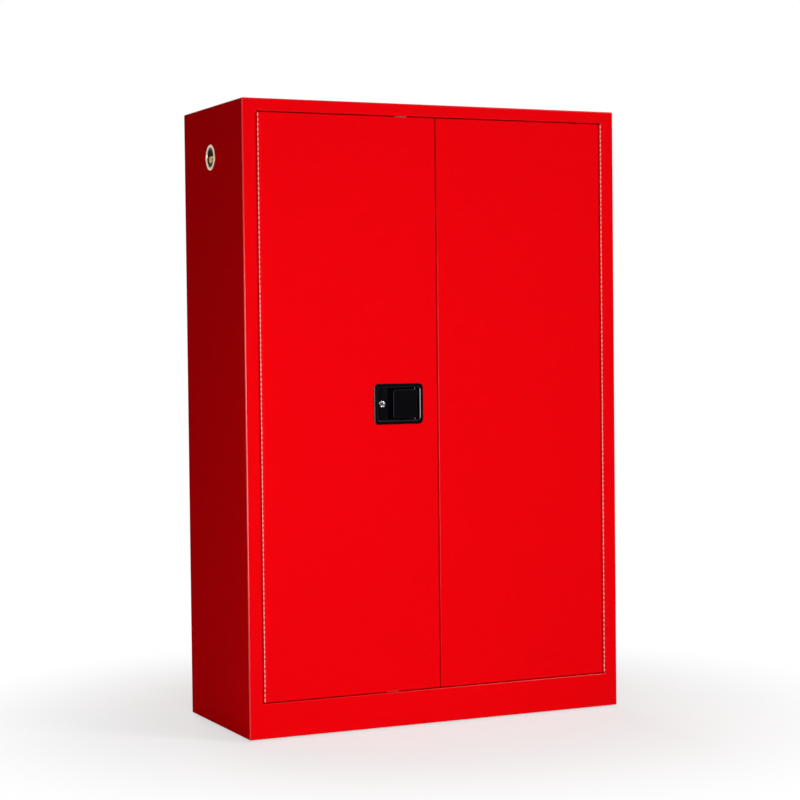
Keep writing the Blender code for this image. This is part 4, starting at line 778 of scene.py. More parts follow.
@dataclass
class Workshop:
    """Turns finished meshes into pieces of the scene."""

    wardrobe: Wardrobe = field(default_factory=Wardrobe)

    def piece(self, obj: bpy.types.Object, finish: object, slot: Slot, body: str, stands_for: Sequence[str] = (),
              sharp: float = SHARP) -> bpy.types.Object:
        """Shades a new piece, dresses it and hangs it on its body.

        Args:
            obj: The new piece.
            finish: What it wears.
            slot: The record's material slot; not used.
            body: The CAD body that carries it.
            stands_for: The CAD nodes that it replaces.
            sharp: Edges sharper than this angle stay sharp.

        Returns:
            The piece.
        """
        obj.data.shade_smooth()
        obj.data.set_sharp_from_angle(angle=sharp)
        self.wardrobe.wear(obj, finish)
        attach(obj, body)
        if stands_for:
            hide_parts(*stands_for)
        log.info("%s rides on %s: %d faces", obj.name, body, len(obj.data.polygons))
        return obj


# Sub-assemblies


@dataclass
class SheetMetal:
    """The CAD nodes whose shapes stay: folded sheets, rails, hooks, latch parts."""

    workshop: Workshop

    def dress(self, nodes: dict[str, bpy.types.Object]) -> None:
        """Gives each kept node its finish.

        Args:
            nodes: The frame's CAD nodes by name.
        """
        wardrobe = self.workshop.wardrobe
        table = {
            wardrobe.coat: ("outer_shell", "back_panel", "floor_panel", "inner_liner", "spill_tray"),
            wardrobe.door_coat: ("left_door_skin", "left_door_pan", "right_door_skin", "right_door_pan"),
            wardrobe.galvanised: ("shelf_rail_", "lower_shelf", "upper_shelf"),
            wardrobe.zinc: ("lower_hook_", "upper_hook_", "upper_rod", "lower_rod"),
            # The paddle pin's near-black colour is painted shade.
            wardrobe.shade_painted_pin: ("paddle_pin",),
            wardrobe.zinc_flat: ("head_strike", "sill_strike", "centre_strike", "lock_plate", "latch_rotor",
                                 "centre_bolt", "bolt_guide", "upper_rod_guide", "lower_rod_guide"),
            wardrobe.spring: ("rod_spring",),
        }
        for finish, starts in table.items():
            for name in sorted(nodes):
                if name in starts or any(s.endswith("_") and name.startswith(s) for s in starts):
                    wardrobe.wear(nodes[name], finish)
                    log.info("%s keeps its CAD shape", name)


@dataclass
class PianoHinge:
    """A piano hinge: two leaves with alternate rolled knuckles on one pin."""

    workshop: Workshop
    side: Side
    knuckle: float = 0.0125
    knuckle_gap: float = 0.0007
    knuckle_crown: float = 0.0013
    knuckle_round: float = 0.0036
    crown_angles: tuple[float, ...] = (0.0, 0.35, 0.75, 1.15, math.pi / 2)
    barrel_sides: int = 18
    bore_radius: float = 0.0017
    pin_radius: float = 0.0013
    pin_end: float = 0.0006
    pin_sides: int = 12
    stake_width: float = 0.0003
    stake_chamfer: float = 0.0004
    stake_height: float = 0.0005
    stake_flat: float = 0.7
    leaf_thickness: float = 0.0015
    leaf_neck: float = 0.0042
    leaf_end: float = 0.0004
    rivet_spacing: float = 0.1010
    rivet_radius: float = 0.0027
    rivet_height: float = 0.0009
    rivet_seat: float = 0.0002
    rivet_angles: tuple[float, ...] = (0.0, 0.45, 0.9, 1.3)
    rivet_sides: int = 14
    rivet_from_axis: float = 0.0165

    def measure(self) -> None:
        """Reads the axis, the barrel and the leaf's reach from the CAD nodes."""
        low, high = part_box(f"{self.side.word}_hinge_pin")
        leaf_low, leaf_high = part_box(f"{self.side.word}_frame_leaf")
        self.axis = (low + high) / 2
        outer = leaf_low.x if self.side is Side.LEFT else leaf_high.x
        self.barrel_radius = abs(outer - self.axis.x)
        self.leaf_back = leaf_high.y
        self.bottom, self.top = leaf_low.z, leaf_high.z
        self.count = int((self.top - self.bottom) / self.knuckle)
        self.first_knuckle = (self.bottom + self.top - self.count * self.knuckle) / 2

    def knuckle_profile(self, start: float) -> list[Point2]:
        """The outside of one knuckle, crowned at both ends, from a height up."""
        low, high = start + self.knuckle_gap / 2, start + self.knuckle - self.knuckle_gap / 2
        radius, crown = self.barrel_radius, self.knuckle_crown
        foot = [(radius - crown + crown * math.sin(a), low + self.knuckle_round * (1 - math.cos(a)))
                for a in self.crown_angles]
        head = [(r, low + high - h) for r, h in reversed(foot)]
        return [(self.bore_radius, low), *foot, *head, (self.bore_radius, high)]

    def build_leaf(self, owner: str, body: str, way: int, first: int) -> None:
        """Builds one leaf with every other knuckle.

        Args:
            owner: frame or door, as the CAD node spells it.
            body: The CAD body that carries it.
            way: The side of the pin, along X, on which the leaf lies.
            first: The first of its knuckles.
        """
        bm = bmesh.new()
        x, y = self.axis.x, self.axis.y
        edge = sorted((x + way * (self.barrel_radius - self.leaf_thickness), x + way * self.barrel_radius))
        for i in range(first, self.count, 2):
            start = self.first_knuckle + i * self.knuckle
            turn(bm, self.knuckle_profile(start), self.barrel_sides, Matrix.Translation((x, y, 0.0)))
            low = start + self.knuckle_gap / 2 + self.knuckle_crown / 2
            high = start + self.knuckle - self.knuckle_gap / 2 - self.knuckle_crown / 2
            block(bm, (edge[0], y, low), (edge[1], y + self.leaf_neck + self.leaf_thickness, high))
        block(bm, (edge[0], y + self.leaf_neck, self.bottom + self.leaf_end),
              (edge[1], self.leaf_back, self.top - self.leaf_end), self.leaf_thickness / 5, 1)
        name = f"{self.side.word}_{owner}_leaf"
        obj = solid_of(bm, name + "_rolled")
        # Its knuckles wear the hinge coat's painted highlight.
        self.workshop.piece(obj, self.workshop.wardrobe.hinge_coat, Slot.RED, body, [name])

    def build_rivets(self, owner: str, body: str, way: int) -> None:
        """Builds the domed rivets that hold one leaf.

        Args:
            owner: frame or door.
            body: The CAD body that carries them.
            way: The side of the pin on which the leaf lies.
        """
        bm = bmesh.new()
        face = self.axis.x + way * (self.barrel_radius - self.leaf_thickness)
        count = int((self.top - self.bottom) / self.rivet_spacing)
        start = (self.bottom + self.top - (count - 1) * self.rivet_spacing) / 2
        head = dome(self.rivet_radius, self.rivet_height, self.rivet_seat, self.rivet_angles)
        for i in range(count):
            place = Vector((face, self.axis.y + self.rivet_from_axis, start + i * self.rivet_spacing))
            turn(bm, head, self.rivet_sides, lay(place, Vector((-way, 0.0, 0.0))))
        obj = solid_of(bm, f"{self.side.word}_{owner}_leaf_rivets")
        self.workshop.piece(obj, self.workshop.wardrobe.zinc, Slot.ZINC, body)

    def build_pin(self) -> None:
        """Builds the pin with its two staked ends."""
        reach = self.count * self.knuckle / 2 + self.pin_end
        head = self.bore_radius + self.stake_width
        upper = [(self.pin_radius, reach - self.stake_chamfer), (head, reach),
                 (head * self.stake_flat, reach + self.stake_chamfer), (0.0, reach + self.stake_height)]
        bm = bmesh.new()
        middle = Matrix.Translation((self.axis.x, self.axis.y, (self.bottom + self.top) / 2))
        turn(bm, mirrored(upper), self.pin_sides, middle)
        name = f"{self.side.word}_hinge_pin"
        obj = solid_of(bm, name + "_staked")
        self.workshop.piece(obj, self.workshop.wardrobe.zinc, Slot.ZINC, "cabinet", [name])

    def build(self) -> None:
        """Builds the whole hinge."""
        self.measure()
        out, door = self.side.value, f"{self.side.word}_door"
        self.build_leaf("frame", "cabinet", out, 0)
        self.build_leaf("door", door, -out, 1)
        self.build_rivets("frame", "cabinet", out)
        self.build_rivets("door", door, -out)
        self.build_pin()


@dataclass
class PaddleHandle:
    """The flush paddle handle: a moulded housing, its paddle, and the lock beside it."""

    workshop: Workshop
    bezel_corner: float = 0.0120
    bezel_edge: float = 0.0019
    bezel_flatness: float = 0.9
    cup_width: float = 0.124
    cup_tall: float = 0.088
    cup_corner: float = 0.008
    cup_chamfer: float = 0.001
    wall: float = 0.002
    dish_width: float = 0.0040
    dish_depth: float = 0.0005
    dish_start: float = 0.3
    mouth_edge: float = 0.0030
    draft: float = 0.0006
    floor_fillet: float = 0.0025
    ledge_width: float = 0.029
    ledge_inset: float = 0.0035
    ledge_edge: float = 0.0014
    seat_gap: float = 0.0003
    cut_reach: float = 0.03
    slot_left: float = 0.0112
    slot_right: float = 0.0030
    slot_play: float = 0.0009
    paddle_corner: float = 0.005
    paddle_corner_min: float = 0.0008
    paddle_thickness: float = 0.004
    paddle_edge: float = 0.0013
    paddle_crown: float = 0.0005
    crown_steps: tuple[Point2, ...] = ((0.006, 0.42), (0.013, 0.74), (0.022, 0.95))
    lip_inset: float = 0.0006
    lip_thickness: float = 0.003
    lip_depth: float = 0.005
    lip_sink: float = 0.001
    lip_edge: float = 0.0009
    barrel_radius: float = 0.0045
    barrel_chamfer: float = 0.0004
    pin_radius: float = 0.0016
    pin_play: float = 0.0004
    tail_thickness: float = 0.003
    tail_half: float = 0.005
    tail_edge: float = 0.0004
    key_bore: float = 0.0084
    ring_bore: float = 0.0060
    ring_tube: float = 0.0078
    ring_mouth: tuple[Point2, ...] = ((0.0060, 0.0009), (0.0064, 0.0003), (0.0070, 0.0), (0.0078, 0.0))
    ring_rim: tuple[Point2, ...] = ((0.0003, 0.0004), (0.0, 0.0009))
    plug_radius: float = 0.0055
    plug_face: tuple[Point2, ...] = ((0.0055, 0.0007), (0.0050, 0.0002), (0.0042, 0.0002), (0.0036, 0.0), (0.0, 0.0))
    keyway: Point3 = (0.0007, 0.009, 0.0035)
    keyway_start: float = 0.002
    cam_gap: float = 0.0006
    cam_sink: float = 0.001
    cam_half: float = 0.0045
    cam_reach: float = 0.014
    cam_edge: float = 0.0005

    def measure(self) -> None:
        """Reads where the housing, the paddle and the lock are from the CAD nodes."""
        self.low, self.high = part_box("handle_housing")
        self.middle = (self.low + self.high) / 2
        self.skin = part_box("left_door_skin")[0].y
        pin_low, pin_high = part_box("paddle_pin")
        self.pivot = (pin_low + pin_high) / 2
        self.paddle_low, self.paddle_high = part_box("paddle")
        key_low, key_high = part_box("key_cylinder")
        self.key = (key_low + key_high) / 2

    def ring(self, half_wide: float, half_tall: float, corner: float, y: float) -> list[Vector]:
        """A rounded rectangle round the housing's middle, at one depth."""
        outline = rounded_ring(half_wide, half_tall, corner)
        return [Vector((self.middle.x + u, y, self.middle.z + v)) for u, v in outline]

    def housing_rings(self) -> list[list[Vector]]:
        """The housing's sections, from the back of its cup round the bezel to the cup's floor."""
        wide, tall = (self.high.x - self.low.x) / 2, (self.high.z - self.low.z) / 2
        cup_wide, cup_tall = self.cup_width / 2, self.cup_tall / 2
        front, back = self.low.y, self.high.y
        seat, chamfer = self.skin - self.seat_gap, self.cup_chamfer
        rings = [self.ring(cup_wide - chamfer, cup_tall - chamfer, self.cup_corner - chamfer, back),
                 self.ring(cup_wide, cup_tall, self.cup_corner, back - chamfer),
                 self.ring(cup_wide, cup_tall, self.cup_corner, seat),
                 self.ring(wide, tall, self.bezel_corner, seat)]
        for done, left in quarter(0.0, 0.25, 0.5, 0.75, 1.0):
            inwards = self.bezel_edge * done
            y = front + self.bezel_edge * left * self.bezel_flatness
            rings.append(self.ring(wide - inwards, tall - inwards, self.bezel_corner - inwards, y))
        open_wide, open_tall = cup_wide - self.wall, cup_tall - self.wall
        open_corner = self.cup_corner - self.wall
        dish = self.dish_width
        rings.append(self.ring(open_wide + dish, open_tall + dish, open_corner + dish,
                               front + self.dish_depth * self.dish_start))
        for done, left in quarter(0.0, 0.33, 0.66, 1.0):
            outwards = self.mouth_edge * left
            y = front + self.dish_depth + self.mouth_edge * done
            rings.append(self.ring(open_wide + outwards, open_tall + outwards, open_corner + outwards, y))
        floor = back - self.wall
        deep_wide, deep_tall = open_wide - self.draft, open_tall - self.draft
        for done, left in quarter(0.0, 0.33, 0.66, 1.0):
            inwards = self.floor_fillet * done
            y = floor - self.floor_fillet * left
            rings.append(self.ring(deep_wide - inwards, deep_tall - inwards, open_corner - inwards, y))
        return rings

    def build_housing(self) -> None:
        """Builds the housing with the ledge for the lock and the slot for the paddle's tail."""
        bm = bmesh.new()
        loft(bm, self.housing_rings())
        obj = solid_of(bm, "handle_housing_moulded")
        left = self.middle.x - self.cup_width / 2 + self.wall
        top = self.cup_tall / 2 - self.wall / 2
        floor = self.high.y - self.wall
        ledge = bmesh.new()
        block(ledge, (left - self.wall / 2, self.skin + self.ledge_inset, self.middle.z - top),
              (left + self.ledge_width, floor + self.wall / 2, self.middle.z + top), self.ledge_edge, 3)
        carve(obj, ledge, "UNION")
        bore = bmesh.new()
        turn(bore, mirrored([(self.key_bore, self.cut_reach), (0.0, self.cut_reach)]), 40, lay(self.key, FORWARDS))
        carve(obj, bore)
        tail_low, tail_high = self.tail_span()
        slot = bmesh.new()
        block(slot, (self.pivot.x - self.slot_left, floor - self.wall, tail_low - self.slot_play),
              (self.pivot.x + self.slot_right, self.high.y + self.wall, tail_high + self.slot_play))
        carve(obj, slot)
        self.workshop.piece(obj, self.workshop.wardrobe.plastic, Slot.BLACK, "left_door", ["handle_housing"],
                            MOULDED_SHARP)

    def tail_span(self) -> tuple[float, float]:
        """The heights between which the paddle's tail lies, level with the centre bolt."""
        low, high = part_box("centre_bolt")
        middle = (low.z + high.z) / 2
        return middle - self.tail_half, middle + self.tail_half

    def paddle_rings(self, middle: Vector, half_wide: float, half_tall: float, front: float) -> list[list[Vector]]:
        """The paddle's sections, from its back to its crowned front.

        Args:
            middle: The middle of the flap.
            half_wide: Half its width.
            half_tall: Half its height.
            front: The y of its front.

        Returns:
            The sections.
        """
        back, edge = front + self.paddle_thickness, self.paddle_edge
        sections = [(edge * 0.5, back), (edge * 0.12, back - edge * 0.35), (0.0, back - edge)]
        sections += [(edge * done, front + edge * left) for done, left in quarter(0.0, 0.3, 0.6, 1.0)]
        sections += [(inwards, front - self.paddle_crown * share) for inwards, share in self.crown_steps]
        rings = []
        for inwards, y in sections:
            corner = max(self.paddle_corner - inwards, self.paddle_corner_min)
            outline = rounded_ring(half_wide - inwards, half_tall - inwards, corner)
            rings.append([Vector((middle.x + u, y, middle.z + v)) for u, v in outline])
        return rings

    def build_paddle(self) -> None:
        """Builds the paddle: a crowned flap with a finger lip, a barrel and a tail."""
        low, high = self.paddle_low, self.paddle_high
        half_wide, half_tall = (high.x - low.x) / 2, (high.z - low.z) / 2
        middle = Vector(((low.x + high.x) / 2, 0.0, (low.z + high.z) / 2))
        back = low.y + self.paddle_thickness
        bm = bmesh.new()
        loft(bm, self.paddle_rings(middle, half_wide, half_tall, low.y))
        lip_half = half_tall - self.paddle_corner - self.lip_inset
        lip_left = low.x + self.lip_inset
        block(bm, (lip_left, back - self.lip_sink, middle.z - lip_half),
              (lip_left + self.lip_thickness, back + self.lip_depth, middle.z + lip_half), self.lip_edge, 3)
        bore, chamfer = self.pin_radius + self.pin_play, self.barrel_chamfer
        upper = [(self.barrel_radius, lip_half - chamfer), (self.barrel_radius - chamfer, lip_half), (bore, lip_half)]
        turn(bm, mirrored(upper), 28, Matrix.Translation((self.pivot.x, self.pivot.y, middle.z)), closed=True)
        tail_low, tail_high = self.tail_span()
        half = self.tail_thickness / 2
        block(bm, (self.pivot.x - half, self.pivot.y + bore + self.tail_edge, tail_low),
              (self.pivot.x + half, self.paddle_high.y, tail_high), self.tail_edge)
        obj = solid_of(bm, "paddle_moulded")
        self.workshop.piece(obj, self.workshop.wardrobe.paddle_plastic, Slot.BLACK, "paddle", ["paddle"],
                            MOULDED_SHARP)

    def build_ring(self, ledge: float, place: Matrix) -> None:
        """Builds the lock's chromed ring.

        Args:
            ledge: The y of the ledge that it sits on.
            place: Lays the lock's axis.
        """
        low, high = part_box("key_cylinder")
        radius = (high.x - low.x) / 2
        rim, back = ledge - low.y, -(high.y - ledge)
        profile = [(r, rim - down) for r, down in self.ring_mouth]
        profile += [(radius - inwards, rim - down) for inwards, down in self.ring_rim]
        profile += [(radius, self.seat_gap), (self.ring_tube, self.seat_gap), (self.ring_tube, back),
                    (self.ring_bore, back)]
        bm = bmesh.new()
        turn(bm, profile, 44, place, closed=True)
        obj = solid_of(bm, "lock_ring_turned")
        # The lock's ring and plug wear chrome with painted dark reflections.
        self.workshop.piece(obj, self.workshop.wardrobe.chrome, Slot.CHROME, "left_door", ["key_cylinder"])

    def build_plug(self, ledge: float, place: Matrix) -> None:
        """Builds the plug that turns in the ring, with its keyway and its cam.

        Args:
            ledge: The y of the ledge that the lock sits on.
            place: Lays the lock's axis.
        """
        low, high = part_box("key_plug")
        face, cam_y = ledge - low.y, self.high.y + self.cam_gap
        tail = ledge - cam_y - self.cam_sink
        bm = bmesh.new()
        turn(bm, [(0.0, tail), (self.plug_radius, tail), *((r, face - down) for r, down in self.plug_face)], 44, place)
        obj = solid_of(bm, "lock_plug_turned")
        half_wide, deep, half_tall = self.keyway
        cut = bmesh.new()
        block(cut, (self.key.x - half_wide, low.y - self.keyway_start, self.key.z - half_tall),
              (self.key.x + half_wide, low.y + deep, self.key.z + half_tall))
        carve(obj, cut)
        cam = bmesh.new()
        block(cam, (self.key.x - self.cam_half, cam_y, self.key.z - self.cam_half),
              (self.key.x + self.cam_half, high.y, self.key.z + self.cam_reach), self.cam_edge)
        carve(obj, cam, "UNION")
        self.workshop.piece(obj, self.workshop.wardrobe.chrome, Slot.CHROME, "key_plug", ["key_plug"])

    def build(self) -> None:
        """Builds the whole handle."""
        self.measure()
        self.build_housing()
        self.build_paddle()
        ledge = self.skin + self.ledge_inset
        place = lay(Vector((self.key.x, ledge, self.key.z)), FORWARDS)
        self.build_ring(ledge, place)
        self.build_plug(ledge, place)


@dataclass
class Vent:
    """A vent: a flanged brass collar, a bung with a bar across its bowl, and a flame screen."""

    workshop: Workshop
    name: str
    side: Side
    flange_radius: float = 0.034
    flange_edge: float = 0.0011
    flange_drop: float = 0.0002
    tube_radius: float = 0.029
    bore_radius: float = 0.0265
    groove: tuple[Point2, ...] = ((0.0, 0.0008), (0.0003, 0.0003), (0.0009, 0.0), (0.0028, 0.0),
                                  (0.0034, 0.0005), (0.0040, 0.0005), (0.0046, 0.0001))
    shoulder_radius: float = 0.0235
    shoulder: float = 0.002
    seat: float = 0.0003
    bung_radius: float = 0.0259
    bung_length: float = 0.018
    bung_chamfer: float = 0.0008
    bung_inset: float = 0.0015
    thread_depth: float = 0.0007
    thread_pitch: float = 0.0020
    thread_start: float = 0.002
    thread_end: float = 0.001
    bowl_radius: float = 0.0215
    bowl_depth: float = 0.0120
    bowl_drop: float = 0.0007
    bowl_steps: int = 10
    inner_lip: tuple[Point2, ...] = ((0.0003, 0.0002), (0.0009, 0.0))
    outer_lip: tuple[Point2, ...] = ((0.0009, 0.0), (0.0002, 0.0004))
    bar_width: float = 0.0070
    bar_inset: float = 0.0018
    bar_overlap: float = 0.0006
    bar_sink: float = 0.001
    bar_edge: float = 0.0016
    knob_radius: float = 0.0093
    knob_drop: float = 0.0075
    knob_back: float = 0.0060
    neck_share: float = 0.55
    neck_reach: float = 0.85
    stem_sink: float = 0.0004
    screen_ring: float = 0.0030
    screen_play: float = 0.0002
    wire_end: float = 0.0022
    wire_spacing: float = 0.0022
    wire_radius: float = 0.00036
    wire_sway: float = 0.9
    steps: int = 72

    def measure(self) -> None:
        """Reads the vent's place from its CAD collar."""
        low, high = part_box(f"{self.name}_vent_collar")
        middle = (low + high) / 2
        out = self.side.value
        tip, root = (high.x, low.x) if out > 0 else (low.x, high.x)
        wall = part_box("outer_shell")[1].x if out > 0 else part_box("outer_shell")[0].x
        self.origin = Vector((wall, middle.y, middle.z))
        self.face = abs(tip - wall)
        self.inner = -abs(root - wall)
        self.place = lay(self.origin, self.side.outwards)

    def build_collar(self) -> None:
        """Builds the collar with a rounded, grooved flange."""
        face, edge = self.face, self.flange_edge
        profile = [(self.bore_radius + outwards, face - down) for outwards, down in self.groove]
        profile += arc((self.flange_radius - edge, face - edge - self.flange_drop), edge, 80, 0, 5)
        profile += [(self.flange_radius, self.seat), (self.tube_radius, self.seat), (self.tube_radius, self.inner),
                    (self.shoulder_radius, self.inner), (self.shoulder_radius, self.inner + self.shoulder),
                    (self.bore_radius, self.inner + self.shoulder)]
        bm = bmesh.new()
        turn(bm, profile, self.steps, self.place, closed=True)
        name = f"{self.name}_vent_collar"
        obj = solid_of(bm, name + "_turned")
        self.workshop.piece(obj, self.workshop.wardrobe.pale_brass, Slot.BRASS, "cabinet", [name])

    def build_bung(self) -> None:
        """Builds the bung: a threaded plug with a bowl in its face and a bar across the bowl."""
        top = self.face - self.bung_inset
        depth, mouth, radius = self.bowl_depth, self.bowl_radius, self.bung_radius
        sphere = (mouth * mouth + depth * depth) / (2 * depth)
        bottom = top - self.bowl_drop - depth
        reach = math.asin(mouth / sphere)
        angles = [reach * i / self.bowl_steps for i in range(self.bowl_steps + 1)]
        bowl = [(sphere * math.sin(a), bottom + sphere * (1 - math.cos(a))) for a in angles]
        lip = [(mouth + outwards, top - down) for outwards, down in self.inner_lip]
        lip += [(radius - inwards, top - down) for inwards, down in self.outer_lip]
        end = top - self.bung_length
        spiral = thread(radius, self.thread_depth, self.thread_pitch, top - self.thread_start, end + self.thread_end)
        bm = bmesh.new()
        turn(bm, [*bowl, *lip, *spiral, (radius - self.bung_chamfer, end), (0.0, end)], self.steps, self.place)
        name = f"{self.name}_vent_bung"
        obj = solid_of(bm, name + "_threaded")
        # The bung wears near-black brass: painted shade for its recessed bowl.
        self.workshop.piece(obj, self.workshop.wardrobe.shade_painted_brass, Slot.BRASS, name, [name])
        self.build_grip(name, bottom, top)

    def build_grip(self, body: str, bottom: float, top: float) -> None:
        """Builds the bar across the bowl and the round knob below it.

        Args:
            body: The CAD body that carries them.
            bottom: How far out the bowl's bottom lies.
            top: How far out the bung's face lies.
        """
        half_long, half_tall = self.bowl_radius + self.bar_overlap, self.bar_width / 2
        ends = sorted(self.origin.x + self.side.value * x for x in (bottom + self.bar_sink, top - self.bar_inset))
        bm = bmesh.new()
        block(bm, (ends[0], self.origin.y - half_long, self.origin.z - half_tall),
              (ends[1], self.origin.y + half_long, self.origin.z + half_tall), self.bar_edge, 3)
        radius, neck, root = self.knob_radius, self.knob_radius * self.neck_share, bottom - self.stem_sink
        middle = self.face - radius - self.seat
        ball = [(radius * math.cos(a), middle + radius * math.sin(a))
                for a in (math.radians(d) for d in range(-45, 90, 15))]
        profile = [(0.0, root), (neck, root), (neck, middle - radius * self.neck_reach), *ball, (0.0, middle + radius)]
        offset = Vector((0.0, self.knob_back, -self.knob_drop))
        turn(bm, profile, 36, lay(self.origin + offset, self.side.outwards))
        obj = solid_of(bm, f"{self.name}_vent_bung_grip")
        self.workshop.piece(obj, self.workshop.wardrobe.brass, Slot.BRASS, body)

    def build_screen(self) -> None:
        """Builds the flame screen: woven brass wire in a turned ring."""
        name = f"{self.name}_flame_screen"
        low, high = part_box(name)
        radius, thick = (high.z - low.z) / 2, (high.x - low.x) / 2
        place = lay(Vector(((low + high).x / 2, self.origin.y, self.origin.z)), self.side.outwards)
        bm = bmesh.new()
        upper = [(radius - self.screen_play, thick), (radius - self.screen_ring, thick)]
        turn(bm, mirrored(upper), self.steps, place, closed=True)
        reach = radius - self.wire_end
        count = int(reach / self.wire_spacing)
        for i in range(-count, count + 1):
            offset = i * self.wire_spacing
            half = math.sqrt(max(reach * reach - offset * offset, 0.0))
            for crossed in (False, True):
                self.weave_wire(bm, place, (half, offset), i, crossed)
        obj = solid_of(bm, name + "_woven")
        self.workshop.piece(obj, self.workshop.wardrobe.brass, Slot.BRASS, "cabinet", [name])

    def weave_wire(self, bm: bmesh.types.BMesh, place: Matrix, span: Point2, row: int, crossed: bool) -> None:
        """Adds one wire that passes over and under the wires that cross it.

        Args:
            bm: The mesh that it is added to.
            place: Lays the screen where it belongs.
            span: Half its length, and its distance from the middle.
            row: Which wire it is, for the weave.
            crossed: Whether it is one of the wires that cross the others.
        """
        half, offset = span
        steps = max(2, int(2 * half / (self.wire_spacing / 2)))
        rings = []
        for k in range(steps + 1):
            along = -half + 2 * half * k / steps
            sway = math.cos(math.pi * along / self.wire_spacing + (row % 2) * math.pi + (math.pi if crossed else 0.0))
            lift = self.wire_radius * self.wire_sway * sway
            points = [(along, offset + u, lift + v) for u, v in circle(self.wire_radius, 5)]
            rings.append([place @ Vector((y, x, z) if crossed else (x, y, z)) for x, y, z in points])
        loft(bm, rings)

    def build(self) -> None:
        """Builds the whole vent."""
        self.measure()
        self.build_collar()
        self.build_bung()
        self.build_screen()


@dataclass
class EarthStud:
    """The earthing stud: a hexagon head on a washer, with a thread in front of it."""

    workshop: Workshop
    shank_end: float = 0.0006
    washer_bore: float = 0.0041
    washer_radius: float = 0.0085
    washer_chamfer: float = 0.0004
    washer_heights: Point3 = (0.0003, 0.0009, 0.0012)
    head_radius: float = 0.0074
    head_back: Point2 = (0.94, 0.0010)
    head_sides: Point2 = (0.0015, 0.0042)
    head_front: Point2 = (0.86, 0.0048)
    thread_radius: float = 0.0039
    thread_depth: float = 0.0005
    thread_pitch: float = 0.0010
    thread_root: float = 0.0044
    thread_start: float = 0.0046
    tip: float = 0.0006

    def build(self) -> None:
        """Builds the stud where the CAD node is."""
        low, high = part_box("earth_stud")
        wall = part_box("outer_shell")[1].x
        place = lay(Vector((wall, (low.y + high.y) / 2, (low.z + high.z) / 2)), RIGHTWARDS)
        out, inside, radius = high.x - wall, low.x - wall, self.thread_radius
        bm = bmesh.new()
        turn(bm, [(0.0, inside), (radius, inside), (radius, self.shank_end), (0.0, self.shank_end)], 20, place)
        back, rim, front = self.washer_heights
        washer = [(self.washer_bore, back), (self.washer_radius, back), (self.washer_radius, rim),
                  (self.washer_radius - self.washer_chamfer, front), (self.washer_bore, front)]
        turn(bm, washer, 32, place, closed=True)
        (back_share, back), (front_share, front) = self.head_back, self.head_front
        head = [(0.0, back), (self.head_radius * back_share, back),
                *((self.head_radius, height) for height in self.head_sides),
                (self.head_radius * front_share, front), (0.0, front)]
        turn(bm, head, 6, place)
        spiral = thread(radius, self.thread_depth, self.thread_pitch, self.thread_start, out - self.tip)
        turn(bm, [(0.0, self.thread_root), (radius, self.thread_root), *spiral, (radius - self.tip, out), (0.0, out)],
             24, place)
        obj = solid_of(bm, "earth_stud_threaded")
        self.workshop.piece(obj, self.workshop.wardrobe.pale_brass, Slot.BRASS, "cabinet", ["earth_stud"],
                            HEXAGON_SHARP)


@dataclass
class LevellingFeet:
    """Four levelling feet: a round pad, a hexagon to turn it by and a threaded stem."""

    workshop: Workshop
    names: tuple[str, ...] = ("foot_left_front", "foot_right_front", "foot_left_rear", "foot_right_rear")
    pad_edge: tuple[Point2, ...] = ((0.0010, 0.0), (0.0002, 0.0005), (0.0002, 0.0032), (0.0012, 0.0041))
    pad_height: float = 0.0062
    hexagon_radius: float = 0.0098
    hexagon_root: float = 0.0058
    hexagon_edge: float = 0.0093
    hexagon_top: float = 0.0100
    hexagon_flat: float = 0.88
    stem_radius: float = 0.0049
    stem_root: float = 0.0098
    stem_tip: float = 0.0010
    thread_depth: float = 0.0005
    thread_pitch: float = 0.0015
    thread_start: float = 0.0115
    thread_end: float = 0.0012

    def build(self) -> None:
        """Builds each foot where its CAD node is."""
        root, flat = self.hexagon_root, self.hexagon_radius * self.hexagon_flat
        hexagon = [(0.0, root), (self.hexagon_radius, root), (self.hexagon_radius, self.hexagon_edge),
                   (flat, self.hexagon_top), (0.0, self.hexagon_top)]
        for name in self.names:
            low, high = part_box(name)
            radius, top = (high.x - low.x) / 2, high.z
            place = Matrix.Translation(((low.x + high.x) / 2, (low.y + high.y) / 2, 0.0))
            bm = bmesh.new()
            edge = [(radius - inwards, height) for inwards, height in self.pad_edge]
            turn(bm, [(0.0, 0.0), *edge, (self.hexagon_radius, self.pad_height), (0.0, self.pad_height)], 40, place)
            turn(bm, hexagon, 6, place)
            spiral = thread(self.stem_radius, self.thread_depth, self.thread_pitch, self.thread_start,
                            top - self.thread_end)
            stem = [(0.0, self.stem_root), (self.stem_radius, self.stem_root), *spiral,
                    (self.stem_radius - self.stem_tip, top), (0.0, top)]
            turn(bm, stem, 20, place)
            obj = solid_of(bm, f"{name}_threaded")
            self.workshop.piece(obj, self.workshop.wardrobe.zinc, Slot.ZINC, name, [name], HEXAGON_SHARP)


